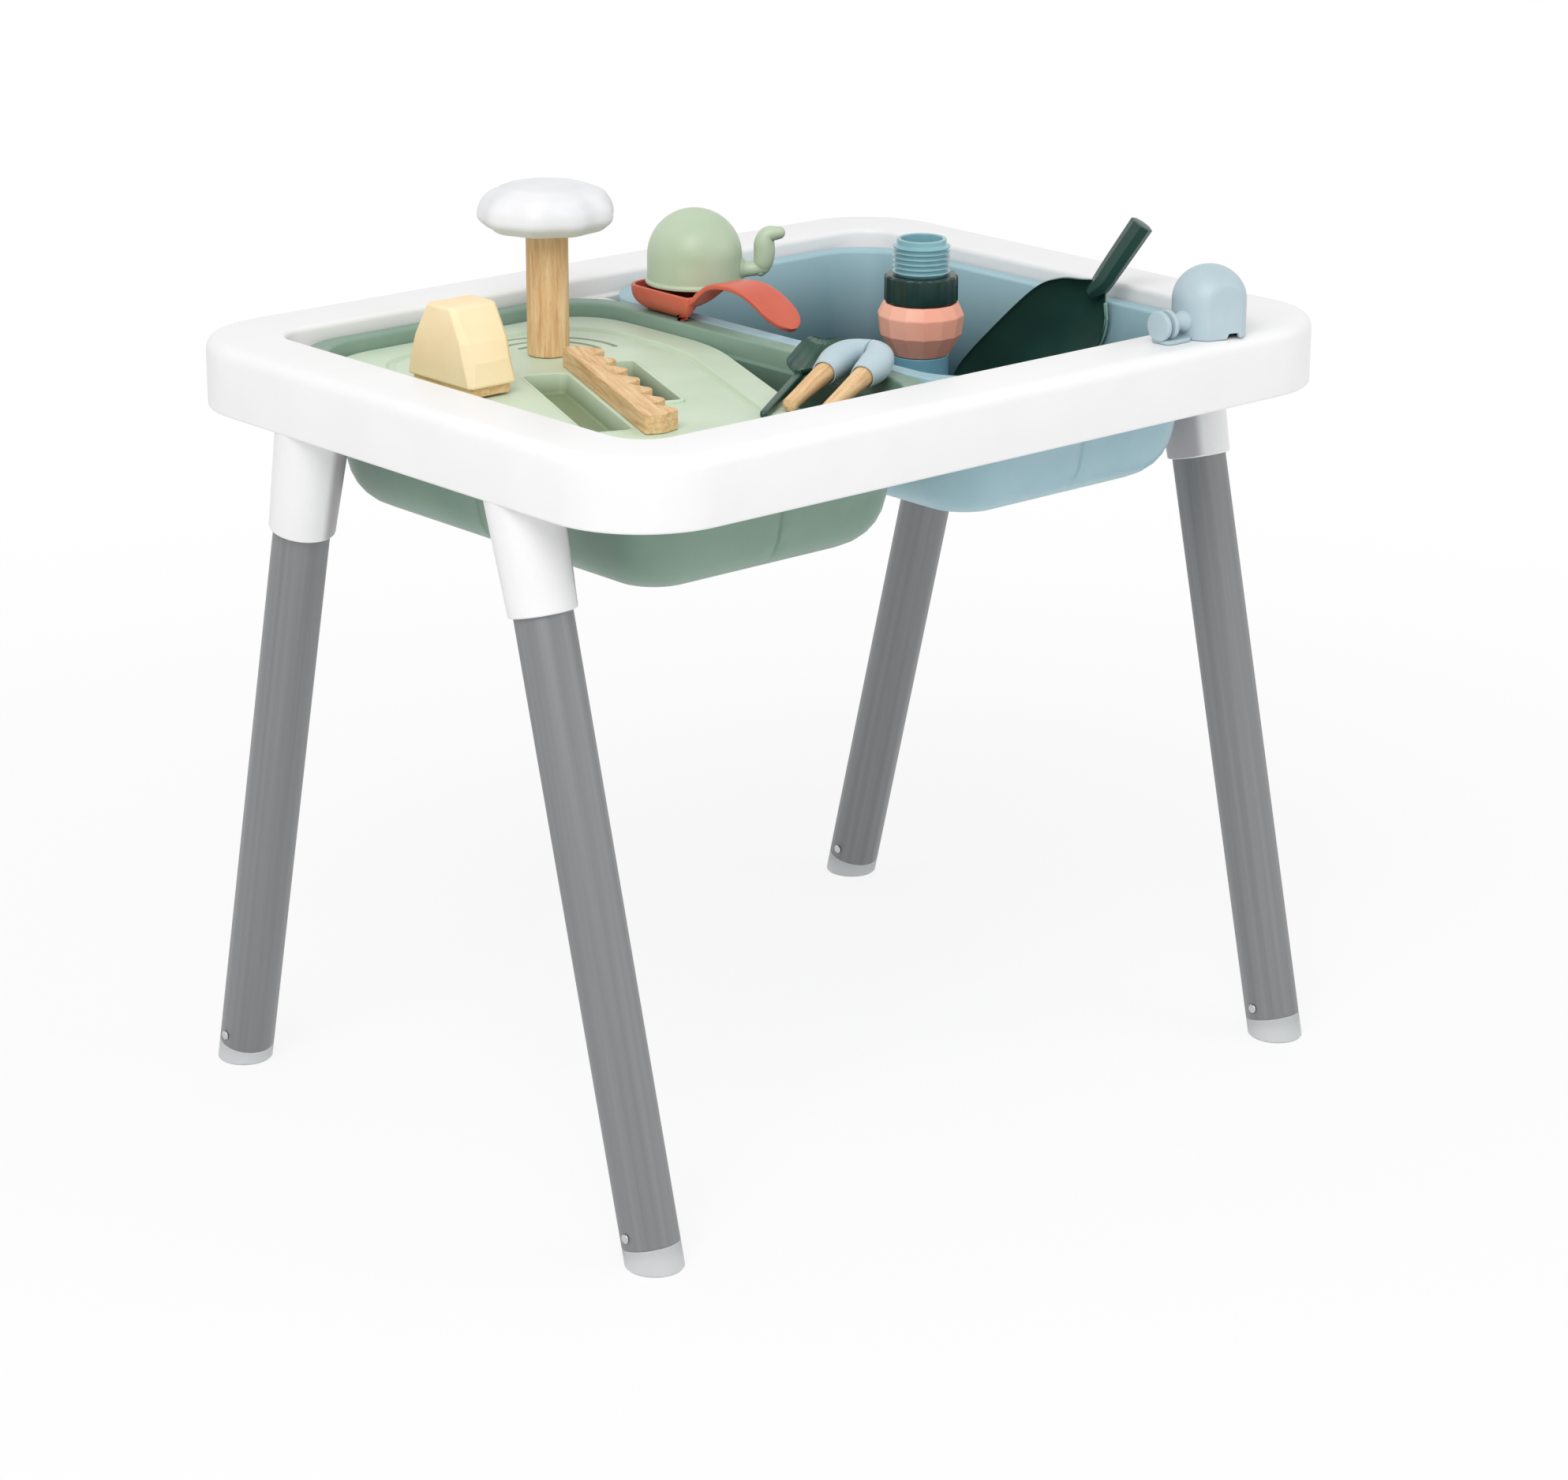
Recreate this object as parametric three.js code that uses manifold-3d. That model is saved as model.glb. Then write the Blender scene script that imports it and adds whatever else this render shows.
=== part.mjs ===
// Sand and water play table: a white rim frame on four splayed tube legs, two lift-out bins,
// a tray lid in the sand bin, and a set of loose sand and water toys.
// Millimetres, +Z up, origin on the floor under the middle of the table.
// +X runs along the long side, with the sand bin on -X and the water bin on +X.

import * as THREE from 'three';
import { mergeVertices } from 'three/addons/utils/BufferGeometryUtils.js';
import Module from 'manifold-3d';

const wasm = await Module();
wasm.setup();

// Driving dimensions of the table
const tableLength = 610;
const tableWidth = 460;
const tableHeight = 500;
const tableCornerRadius = 65.5;

// Driving dimensions of the rim frame
const rimWidth = 48;
const rimRound = 9;
const rimInnerRound = 4;
const apronHeight = 44;
const apronEdgeRound = 3;
const frameWall = 4;
const openingRadius = 24;
const ledgeDrop = 14;
const ledgeThickness = 4;
const ledgeWidth = 8;
const ledgeRadius = 44;

// Clearances
const seat = 0.3;
const binClearance = 1.5;
const dividerHalfGap = 0.7;
const lidClearance = 0.6;
const overrun = 1;

// Driving dimensions of the bins
const lipDrop = 10;
const lipWidth = 12.5;
const lipThickness = 3.5;
const lipRadius = 48;
const radiusFallShare = 0.55;
const binDepth = 100;
const binWall = 2.5;
const binFloor = 2.5;
const binDraft = 18.5;
const binFloorRound = 25;
const grooveWidth = 2;
const grooveDepth = 0.8;
const lidLedgeWidth = 3.5;
const lidLedgeDrop = 12.3;
const lidLedgeHeight = 16;

// Driving dimensions of the lid
const lidThickness = 4;
const lidCornerRadius = 50;
const lidBendRadius = 30;
const lidPointRadius = 14;
const lidBandWidth = 23;
const lidStep = 1.2;
const slotLength = 108;
const slotWidth = 16;
const slotRimWidth = 3;
const slotRimHeight = 2;
const slotSkirt = 10;
const troughLength = 150;
const troughWidth = 28;
const troughDepth = 13;
const troughWall = 2.2;
const sieveRadii = [24, 36, 48];
const sieveSlotWidth = 4;
const sieveSteps = 5;
const sieveDegrees = [-12, 100];

// Driving dimensions of the legs
const legDiameter = 36;
const legWall = 1.5;
const legSocketEndInset = 24;
const legSocketSideInset = 124.7;
const legFootEndInset = 29;
const legFootSideInset = 15;
const sleeveTopDiameter = 47;
const sleeveLowDiameter = 42;
const sleeveLength = 69;
const sleeveEdgeRound = 2;
const legInsertion = 62;
const flangeHalfX = 19.4;
const flangeHalfY = 46;
const flangeThickness = 10;
const flangeRadius = 6;
const footCapHeight = 14;
const footPlugLength = 26;
const rivetAboveCap = 8;
const rivetShankDiameter = 3;
const rivetHeadDiameter = 6;
const rivetHeadHeight = 1.4;
const screwShankDiameter = 3.5;
const screwHeadDiameter = 7;
const screwHeadHeight = 2.4;
const screwLength = 24;
const screwSpacing = 72;
const bossDiameter = 9;

// Driving dimensions of the crossbar under the bins' meeting lips
const crossbarWidth = 15;
const crossbarHeight = 12;
const crossbarWall = 2.5;

// Worked-out places shared by several pieces
const legSocketX = tableLength / 2 - legSocketEndInset;
const legSocketY = tableWidth / 2 - legSocketSideInset;
const legFootX = tableLength / 2 - legFootEndInset;
const legFootY = tableWidth / 2 - legFootSideInset;
const apronBottom = tableHeight - apronHeight;
const ledgeTop = tableHeight - ledgeDrop;
const openingHalfX = tableLength / 2 - rimWidth;
const openingHalfY = tableWidth / 2 - rimWidth;
const lipTop = tableHeight - lipDrop;
const binBottom = lipTop - binDepth;
const binFloorTop = binBottom + binFloor;
const lidBottom = lipTop - lidLedgeDrop + seat;
const lidTop = lidBottom + lidThickness;
const trayTop = lidTop - lidStep;
const binHalfX = (openingHalfX - binClearance - dividerHalfGap) / 2;
const binHalfY = openingHalfY - binClearance;
const binCentreX = dividerHalfGap + binHalfX;
const lidHalfInset = lipWidth + lidLedgeDrop * (binDraft / (binDepth - lipDrop)) + lidClearance;

// Finishes
const finish = {
  frame: new THREE.MeshStandardMaterial({ color: 0xf6f6f4, roughness: 0.38 }),
  legTube: new THREE.MeshStandardMaterial({ color: 0x8a8b8c, roughness: 0.35, metalness: 0.85 }),
  foot: new THREE.MeshStandardMaterial({ color: 0xd2d4d5, roughness: 0.45 }),
  steel: new THREE.MeshStandardMaterial({ color: 0xc4c6c8, roughness: 0.3, metalness: 1 }),
  sandBin: new THREE.MeshStandardMaterial({ color: 0x7c9c8b, roughness: 0.45 }),
  waterBin: new THREE.MeshStandardMaterial({ color: 0x9cc0cd, roughness: 0.45 }),
  lid: new THREE.MeshStandardMaterial({ color: 0xcbdcc5, roughness: 0.45 }),
  white: new THREE.MeshStandardMaterial({ color: 0xf5f5f4, roughness: 0.5 }),
  wood: new THREE.MeshStandardMaterial({ color: 0xd2a870, roughness: 0.6 }),
  cream: new THREE.MeshStandardMaterial({ color: 0xfbe3b4, roughness: 0.55 }),
  sage: new THREE.MeshStandardMaterial({ color: 0xc3d5b7, roughness: 0.45 }),
  coral: new THREE.MeshStandardMaterial({ color: 0xd8604a, roughness: 0.45 }),
  forest: new THREE.MeshStandardMaterial({ color: 0x2f5c50, roughness: 0.5 }),
  pine: new THREE.MeshStandardMaterial({ color: 0x1c3f35, roughness: 0.45 }),
  mist: new THREE.MeshStandardMaterial({ color: 0xbcd2da, roughness: 0.45 }),
  teal: new THREE.MeshStandardMaterial({ color: 0x82afbe, roughness: 0.25 }),
  peach: new THREE.MeshStandardMaterial({ color: 0xfaaa92, roughness: 0.5 }),
};

// Solid helpers: every shape becomes a manifold, and one mesh shows it
function solidOf(geometry) {
  const bare = geometry.clone();
  bare.deleteAttribute('normal');
  bare.deleteAttribute('uv');
  const merged = mergeVertices(bare, 1e-4);
  return new wasm.Manifold(new wasm.Mesh({
    numProp: 3,
    vertProperties: new Float32Array(merged.attributes.position.array),
    triVerts: new Uint32Array(merged.index.array),
  }));
}

function geometryOf(solid) {
  const mesh = solid.getMesh();
  const geometry = new THREE.BufferGeometry();
  const points = new Float32Array(mesh.vertProperties);
  geometry.setAttribute('position', new THREE.BufferAttribute(points, 3));
  geometry.setIndex(new THREE.BufferAttribute(new Uint32Array(mesh.triVerts), 1));
  geometry.computeVertexNormals();
  return geometry;
}

// Stacked rings of points, all with the same count, closed by a fan at each end
function skin(rings) {
  const count = rings[0].length;
  const points = rings.flat();
  const middle = (ring) => [0, 1, 2].map((k) => ring.reduce((sum, p) => sum + p[k], 0) / count);
  const first = points.length;
  points.push(middle(rings[0]), middle(rings[rings.length - 1]));
  const faces = [];
  for (let level = 0; level < rings.length - 1; level += 1) {
    for (let i = 0; i < count; i += 1) {
      const a = level * count + i;
      const b = level * count + ((i + 1) % count);
      faces.push(a, b, b + count, a, b + count, a + count);
    }
  }
  const last = (rings.length - 1) * count;
  for (let i = 0; i < count; i += 1) {
    const next = (i + 1) % count;
    faces.push(first, next, i, first + 1, last + i, last + next);
  }
  const geometry = new THREE.BufferGeometry();
  geometry.setAttribute('position', new THREE.BufferAttribute(new Float32Array(points.flat()), 3));
  geometry.setIndex(faces);
  return solidOf(geometry);
}

// A rounded rectangle as points, anticlockwise seen from above
const quarterDegrees = 90;

function roundRect(centreX, centreY, halfX, halfY, radius, z, steps = 4) {
  const points = [];
  const corners = [[1, -1], [1, 1], [-1, 1], [-1, -1]];
  for (const [turn, [sx, sy]] of corners.entries()) {
    for (let i = 0; i <= steps; i += 1) {
      const angle = THREE.MathUtils.degToRad(quarterDegrees * (turn - 1 + i / steps));
      points.push([
        centreX + sx * (halfX - radius) + radius * Math.cos(angle),
        centreY + sy * (halfY - radius) + radius * Math.sin(angle),
        z,
      ]);
    }
  }
  return points;
}

function circle(centreX, centreY, radius, z, sides = 20) {
  return Array.from({ length: sides }, (_, i) => {
    const angle = (2 * Math.PI * i) / sides;
    return [centreX + radius * Math.cos(angle), centreY + radius * Math.sin(angle), z];
  });
}

function block(halfX, halfY, radius, low, high, centreX = 0, centreY = 0, steps = 2) {
  return skin([
    roundRect(centreX, centreY, halfX, halfY, radius, low, steps),
    roundRect(centreX, centreY, halfX, halfY, radius, high, steps),
  ]);
}

function rod(radius, low, high, centreX = 0, centreY = 0, sides = 20) {
  return skin([low, high].map((z) => circle(centreX, centreY, radius, z, sides)));
}

// A turned solid from radius and height pairs, starting and ending on its axis
function turned(profile, sides = 20) {
  const points = profile.map(([radius, z]) => new THREE.Vector2(radius, z));
  const geometry = new THREE.LatheGeometry(points, sides);
  geometry.rotateX(Math.PI / 2);
  return solidOf(geometry);
}

// A polygon with each corner rounded: corners are [x, y, radius], and no fillet passes half its edge
const filletShare = 0.499;

function roundedPolygon(corners) {
  const shape = new THREE.Shape();
  const count = corners.length;
  corners.forEach(([x, y, radius], i) => {
    const [px, py] = corners[(i + count - 1) % count];
    const [nx, ny] = corners[(i + 1) % count];
    const before = new THREE.Vector2(px - x, py - y);
    const after = new THREE.Vector2(nx - x, ny - y);
    const fillet = Math.min(radius, filletShare * Math.min(before.length(), after.length()));
    before.setLength(fillet);
    after.setLength(fillet);
    if (i === 0) shape.moveTo(x + before.x, y + before.y);
    else shape.lineTo(x + before.x, y + before.y);
    shape.quadraticCurveTo(x, y, x + after.x, y + after.y);
  });
  shape.closePath();
  return shape;
}

function plate(shape, low, high, curveSegments = 4) {
  const depth = high - low;
  const geometry = new THREE.ExtrudeGeometry(shape, { depth, bevelEnabled: false, curveSegments });
  return solidOf(geometry.translate(0, 0, low));
}

// A convex outline moved inwards by a distance, corner by corner
function insetOutline(corners, distance, radii) {
  const count = corners.length;
  return corners.map(([x, y], i) => {
    const [px, py] = corners[(i + count - 1) % count];
    const [nx, ny] = corners[(i + 1) % count];
    const before = new THREE.Vector2(x - px, y - py).normalize();
    const after = new THREE.Vector2(nx - x, ny - y).normalize();
    const turn = before.x * after.y - before.y * after.x;
    const alongShare = (1 - before.dot(after)) / turn;
    return [
      x - distance * before.y - before.x * distance * alongShare,
      y + distance * before.x - before.y * distance * alongShare,
      radii[i],
    ];
  });
}

// Moves a solid by a matrix built from a place and three axes
function placed(solid, origin, axisX, axisY, axisZ) {
  const geometry = geometryOf(solid);
  const matrix = new THREE.Matrix4().makeBasis(axisX, axisY, axisZ).setPosition(origin);
  return solidOf(geometry.applyMatrix4(matrix));
}

const parts = new THREE.Group();

function addPiece(name, solid, material, parent = parts) {
  const mesh = new THREE.Mesh(geometryOf(solid), material);
  mesh.name = name;
  parent.add(mesh);
  return mesh;
}

// Table frame: one moulding with an outer apron, a flat rim and an inner ledge for the bins' lips
function tableRing(inset, z) {
  return roundRect(0, 0, tableLength / 2 - inset, tableWidth / 2 - inset, tableCornerRadius - inset, z, 6);
}

function openingRing(outset, z) {
  return roundRect(0, 0, openingHalfX + outset, openingHalfY + outset, openingRadius + outset, z);
}

// Inset and rise shares along a quarter round, from its flat end to its upright end
function quarterShares(steps) {
  return Array.from({ length: steps + 1 }, (_, i) => {
    const angle = (Math.PI / 2) * (i / steps);
    return [1 - Math.sin(angle), 1 - Math.cos(angle)];
  });
}

const legSides = [
  ['front_left', -1, -1],
  ['front_right', 1, -1],
  ['rear_left', -1, 1],
  ['rear_right', 1, 1],
];
const flangeBottom = apronBottom;
const flangeTop = flangeBottom + flangeThickness;
const screwRecess = screwHeadHeight + seat;
const socketCentreX = tableLength / 2 - frameWall - seat - flangeHalfX;

function makeTableFrame() {
  const low = quarterShares(2).map(([inset, rise]) => (
    tableRing(inset * apronEdgeRound, apronBottom + rise * apronEdgeRound)
  ));
  const high = quarterShares(4).reverse().map(([inset, drop]) => (
    tableRing(inset * rimRound, tableHeight - drop * rimRound)
  ));
  let frame = skin([...low, ...high]);
  const mouth = quarterShares(2).reverse().map(([outset, drop]) => (
    openingRing(outset * rimInnerRound, tableHeight - drop * rimInnerRound)
  ));
  frame = frame.subtract(skin([
    openingRing(0, ledgeTop),
    ...mouth,
    openingRing(rimInnerRound, tableHeight + overrun),
  ]));
  const ledgeHalfX = openingHalfX - ledgeWidth;
  const ledgeHalfY = openingHalfY - ledgeWidth;
  const ledgeBottom = ledgeTop - ledgeThickness;
  frame = frame.subtract(skin([ledgeBottom - overrun, ledgeTop + overrun].map((z) => (
    roundRect(0, 0, ledgeHalfX, ledgeHalfY, ledgeRadius, z)
  ))));
  frame = frame.subtract(skin([apronBottom - overrun, ledgeBottom].map((z) => tableRing(frameWall, z))));
  const channel = skin([
    tableRing(frameWall, ledgeBottom - overrun),
    tableRing(frameWall, tableHeight - frameWall),
  ]).subtract(skin([
    openingRing(frameWall, ledgeBottom - 2 * overrun),
    openingRing(frameWall, tableHeight),
  ]));
  frame = frame.subtract(channel);
  for (const [, sx, sy] of legSides) {
    for (const end of [-1, 1]) {
      const x = sx * socketCentreX;
      const y = sy * legSocketY + (end * screwSpacing) / 2;
      const pilotTop = flangeBottom + screwRecess + screwLength + seat;
      frame = frame.add(rod(bossDiameter / 2, flangeTop + seat, tableHeight - frameWall / 2, x, y, 8));
      frame = frame.subtract(rod(screwShankDiameter / 2 + seat, apronBottom, pilotTop, x, y, 8));
    }
  }
  return frame;
}

addPiece('table_frame', makeTableFrame(), finish.frame);

// Crossbar: an upside-down channel between the long ledges, under the bins' meeting lips
function makeCrossbar() {
  const halfY = openingHalfY - ledgeWidth - seat;
  const top = ledgeTop;
  const bar = block(crossbarWidth / 2, halfY, crossbarWall, top - crossbarHeight, top);
  const inside = block(
    crossbarWidth / 2 - crossbarWall,
    halfY - crossbarWall,
    crossbarWall / 2,
    top - crossbarHeight - overrun,
    top - crossbarWall,
  );
  return bar.subtract(inside);
}

addPiece('centre_crossbar', makeCrossbar(), finish.frame);

// Legs: a white sleeve screwed up into the rim, a tube pushed into it, and a riveted foot cap
function legFrame(sx, sy) {
  const foot = new THREE.Vector3(sx * legFootX, sy * legFootY, 0);
  const socket = new THREE.Vector3(sx * legSocketX, sy * legSocketY, apronBottom);
  const along = socket.clone().sub(foot).normalize();
  const across = new THREE.Vector3(1, 0, 0).addScaledVector(along, -along.x).normalize();
  const third = along.clone().cross(across);
  return { foot, socket, along, across, third, reach: socket.distanceTo(foot) };
}

function onLeg(leg, solid) {
  return placed(solid, leg.foot, leg.across, leg.third, leg.along);
}

function makeSleeve(leg, sx, sy) {
  const lowEnd = leg.reach - sleeveLength;
  const topReach = leg.reach + sleeveTopDiameter;
  const outer = onLeg(leg, skin([
    circle(0, 0, sleeveLowDiameter / 2 - sleeveEdgeRound, lowEnd),
    circle(0, 0, sleeveLowDiameter / 2, lowEnd + sleeveEdgeRound),
    circle(0, 0, sleeveTopDiameter / 2, leg.reach),
    circle(0, 0, sleeveTopDiameter / 2, topReach),
  ]));
  const above = block(tableLength, tableWidth, overrun, apronBottom - seat, tableHeight * 2);
  const flangeX = sx * socketCentreX;
  const flangeY = sy * legSocketY;
  let sleeve = outer.subtract(above).add(
    block(flangeHalfX, flangeHalfY, flangeRadius, apronBottom - 2 * seat, flangeTop, flangeX, flangeY),
  );
  const boreTop = lowEnd + legInsertion + seat;
  sleeve = sleeve.subtract(onLeg(leg, rod(legDiameter / 2 + seat, lowEnd - overrun, boreTop)));
  for (const end of [-1, 1]) {
    const y = flangeY + (end * screwSpacing) / 2;
    sleeve = sleeve.subtract(rod(screwShankDiameter / 2 + seat, 0, tableHeight, flangeX, y, 8));
    sleeve = sleeve.subtract(
      rod(screwHeadDiameter / 2 + seat, 0, flangeBottom + screwRecess, flangeX, y, 8),
    );
  }
  return sleeve;
}

function makeScrew(sx, sy, end) {
  const low = flangeBottom + seat / 2;
  const headTop = low + screwHeadHeight;
  const screw = turned([
    [0, low],
    [screwHeadDiameter / 2 - screwHeadHeight / 3, low],
    [screwHeadDiameter / 2, low + screwHeadHeight / 2],
    [screwHeadDiameter / 2, headTop],
    [screwShankDiameter / 2, headTop],
    [screwShankDiameter / 2, low + screwLength - screwShankDiameter],
    [0, low + screwLength],
  ], 8);
  return screw.translate([sx * socketCentreX, sy * legSocketY + (end * screwSpacing) / 2, 0]);
}

function makeLegTube(leg) {
  const top = leg.reach - sleeveLength + legInsertion;
  const rivetZ = footCapHeight + rivetAboveCap;
  const tube = rod(legDiameter / 2, footCapHeight, top)
    .subtract(rod(legDiameter / 2 - legWall, footCapHeight - overrun, top + overrun))
    .subtract(crossHole(rivetZ));
  return onLeg(leg, tube);
}

function crossHole(z) {
  const hole = rod(rivetShankDiameter / 2 + seat, -legDiameter, legDiameter, 0, 0, 8);
  return placed(hole, new THREE.Vector3(0, 0, z), ...rivetAxes());
}

function rivetAxes() {
  return [new THREE.Vector3(0, 1, 0), new THREE.Vector3(0, 0, 1), new THREE.Vector3(1, 0, 0)];
}

function makeFootCap(leg) {
  const plugRadius = legDiameter / 2 - legWall - seat;
  const cap = rod(legDiameter / 2, -legDiameter, footCapHeight - seat)
    .add(rod(plugRadius, 0, footCapHeight + footPlugLength))
    .subtract(crossHole(footCapHeight + rivetAboveCap));
  const ground = block(tableLength, tableWidth, overrun, -tableHeight, 0);
  return onLeg(leg, cap).subtract(ground);
}

function makeRivet(leg) {
  const reach = legDiameter / 2 + seat;
  const head = [
    [rivetHeadDiameter / 2, reach],
    [rivetHeadDiameter / 2, reach + rivetHeadHeight / 2],
    [rivetHeadDiameter / 4, reach + rivetHeadHeight],
    [0, reach + rivetHeadHeight],
  ];
  const shank = [rivetShankDiameter / 2, reach];
  const mirrored = [...head].reverse().map(([radius, z]) => [radius, -z]);
  const rivet = turned([...mirrored, [shank[0], -shank[1]], shank, ...head], 8);
  const lying = placed(rivet, new THREE.Vector3(0, 0, footCapHeight + rivetAboveCap), ...rivetAxes());
  return onLeg(leg, lying);
}

for (const [side, sx, sy] of legSides) {
  const leg = legFrame(sx, sy);
  addPiece(`leg_sleeve_${side}`, makeSleeve(leg, sx, sy), finish.frame);
  addPiece(`leg_tube_${side}`, makeLegTube(leg), finish.legTube);
  addPiece(`foot_cap_${side}`, makeFootCap(leg), finish.foot);
  addPiece(`foot_rivet_${side}`, makeRivet(leg), finish.steel);
  addPiece(`sleeve_screw_${side}_near`, makeScrew(sx, sy, -1), finish.steel);
  addPiece(`sleeve_screw_${side}_far`, makeScrew(sx, sy, 1), finish.steel);
}

// Bins: drafted tubs with a flat lip all round, hung on the frame's ledge
const draftShare = binDraft / (binDepth - lipDrop);

function binRing(centreX, inset, z) {
  const radius = lipRadius - radiusFallShare * inset;
  return roundRect(centreX, 0, binHalfX - inset, binHalfY - inset, radius, z, 5);
}

// The wall's rings from the floor up: a rounded foot, then the straight drafted wall
function tubRings(centreX, wallInset, floorZ, round, topZ) {
  const insetAt = (z) => wallInset + (lipTop - z) * draftShare;
  const foot = insetAt(floorZ + round);
  const rings = quarterShares(3).map(([inset, rise]) => (
    binRing(centreX, foot + inset * round, floorZ + rise * round)
  ));
  rings.push(binRing(centreX, insetAt(topZ), topZ));
  return rings;
}

function makeBin(side, withLidLedge) {
  const centreX = side * binCentreX;
  const lipBottom = lipTop - lipThickness;
  const outside = [
    ...tubRings(centreX, lipWidth - binWall, binBottom, binFloorRound, lipBottom),
    binRing(centreX, 0, lipBottom),
    binRing(centreX, 0, lipTop),
  ];
  const ledgeZ = lipTop - lidLedgeDrop;
  const ledgeLow = ledgeZ - lidLedgeHeight;
  const innerAt = (z) => lipWidth + (lipTop - z) * draftShare;
  const inside = withLidLedge
    ? [
      ...tubRings(centreX, lipWidth, binFloorTop, binFloorRound - binWall, ledgeLow),
      binRing(centreX, innerAt(ledgeZ) + lidLedgeWidth, ledgeZ),
      binRing(centreX, innerAt(ledgeZ), ledgeZ),
      binRing(centreX, lipWidth, lipTop + overrun),
    ]
    : [
      ...tubRings(centreX, lipWidth, binFloorTop, binFloorRound - binWall, lipTop),
      binRing(centreX, lipWidth, lipTop + overrun),
    ];
  let bin = skin(outside).subtract(skin(inside));
  const grooveLow = binBottom + binFloorRound;
  const outerAt = (z) => lipWidth - binWall + (lipTop - z) * draftShare;
  for (const end of [-1, 1]) {
    bin = bin.subtract(grooveAcrossY(centreX, end, grooveLow, outerAt));
    bin = bin.subtract(grooveAcrossX(centreX, end, grooveLow, outerAt));
  }
  return bin;
}

// A shallow upright groove in the middle of each outside wall
function grooveAcrossY(centreX, end, low, outerAt) {
  const high = lipTop - lipThickness * 2;
  const half = grooveWidth / 2;
  return skin([low, high].map((z) => {
    const outer = binHalfY - outerAt(z);
    const near = end * (outer - grooveDepth);
    const far = end * (outer + overrun);
    return [
      [centreX - end * half, near, z],
      [centreX + end * half, near, z],
      [centreX + end * half, far, z],
      [centreX - end * half, far, z],
    ];
  }));
}

function grooveAcrossX(centreX, end, low, outerAt) {
  const high = lipTop - lipThickness * 2;
  const half = grooveWidth / 2;
  return skin([low, high].map((z) => {
    const outer = binHalfX - outerAt(z);
    const near = centreX + end * (outer - grooveDepth);
    const far = centreX + end * (outer + overrun);
    return [
      [near, end * half, z],
      [near, -end * half, z],
      [far, -end * half, z],
      [far, end * half, z],
    ];
  }));
}

addPiece('sand_bin', makeBin(-1, true), finish.sandBin);
addPiece('water_bin', makeBin(1, false), finish.waterBin);

// Places inside the bins are shares of the bin's half size, from its middle
function inSandBin([xShare, yShare]) {
  return [-binCentreX + xShare * binHalfX, yShare * binHalfY];
}

function inWaterBin([xShare, yShare]) {
  return [binCentreX + xShare * binHalfX, yShare * binHalfY];
}

// What lies over the lid's cut corner is set back from the sand bin's corner there
function fromSandCorner([insetX, insetY]) {
  return [-dividerHalfGap - insetX, insetY - binHalfY];
}

// What leans on the water bin's end wall is set back from it, and sideways from its middle
function fromWaterEnd([insetX, offsetY]) {
  return [binCentreX + binHalfX - insetX, offsetY];
}

// Lid: a tray with one corner cut off on the slant, a slot, a trough and curved sieve slots
const slantLowShare = 0.245;
const slantHighShare = 0.19;
const slotPlaceShares = [0.116, -0.0786];
const troughPlaceShares = [-0.377, -0.139];
const sievePlaceShares = [0.142, 0.473];

function lidOutline() {
  const halfX = binHalfX - lidHalfInset;
  const halfY = binHalfY - lidHalfInset;
  const middle = -binCentreX;
  return [
    [middle - halfX, -halfY],
    [middle + slantLowShare * halfX, -halfY],
    [middle + halfX, slantHighShare * halfY],
    [middle + halfX, halfY],
    [middle - halfX, halfY],
  ];
}

const lidRadii = [lidCornerRadius, lidPointRadius, lidBendRadius, lidCornerRadius, lidCornerRadius];
const lidCorners = lidOutline();
const [, [slantLowX, slantLowY], [slantHighX, slantHighY]] = lidCorners;
const slant = new THREE.Vector2(slantHighX - slantLowX, slantHighY - slantLowY).normalize();

// A box whose length runs along the lid's slanted edge
function slantedBox(place, width, length, radius, low, high) {
  const along = new THREE.Vector3(slant.x, slant.y, 0);
  const up = new THREE.Vector3(0, 0, 1);
  const across = along.clone().cross(up);
  const origin = new THREE.Vector3(place[0], place[1], 0);
  return placed(block(width / 2, length / 2, radius, low, high), origin, across, along, up);
}

function makeLid() {
  const outline = lidCorners.map(([x, y], i) => [x, y, lidRadii[i]]);
  let lid = plate(roundedPolygon(outline), lidBottom, lidTop);
  const tray = insetOutline(lidCorners, lidBandWidth, lidRadii);
  lid = lid.subtract(plate(roundedPolygon(tray), trayTop, lidTop + overrun));
  const slotPlace = inSandBin(slotPlaceShares);
  const troughPlace = inSandBin(troughPlaceShares);
  const troughFloor = trayTop - troughDepth;
  lid = lid.add(slantedBox(
    slotPlace, slotWidth + 2 * slotRimWidth, slotLength + 2 * slotRimWidth, slotRimWidth * 2,
    lidBottom - slotSkirt, trayTop + slotRimHeight,
  ));
  lid = lid.add(slantedBox(
    troughPlace, troughWidth + 2 * troughWall, troughLength + 2 * troughWall, troughWall * 2,
    troughFloor - troughWall, trayTop,
  ));
  lid = lid.subtract(slantedBox(
    slotPlace, slotWidth, slotLength, slotRimWidth, lidBottom - slotSkirt - overrun, lidTop + slotRimHeight,
  ));
  lid = lid.subtract(slantedBox(
    troughPlace, troughWidth, troughLength, troughWall * 2, troughFloor, lidTop + overrun,
  ));
  const [sieveX, sieveY] = inSandBin(sievePlaceShares);
  for (const radius of sieveRadii) {
    const sieve = plate(sieveSlot(sieveX, sieveY, radius), lidBottom - overrun, lidTop + overrun, sieveSteps);
    lid = lid.subtract(sieve);
  }
  return lid;
}

function sieveSlot(x, y, radius) {
  const [start, end] = sieveDegrees.map((angle) => THREE.MathUtils.degToRad(angle));
  const shape = new THREE.Shape();
  shape.absarc(x, y, radius + sieveSlotWidth / 2, start, end, false);
  shape.absarc(x, y, radius - sieveSlotWidth / 2, end, start, true);
  shape.closePath();
  return shape;
}

addPiece('bin_lid', makeLid(), finish.lid);

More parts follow.
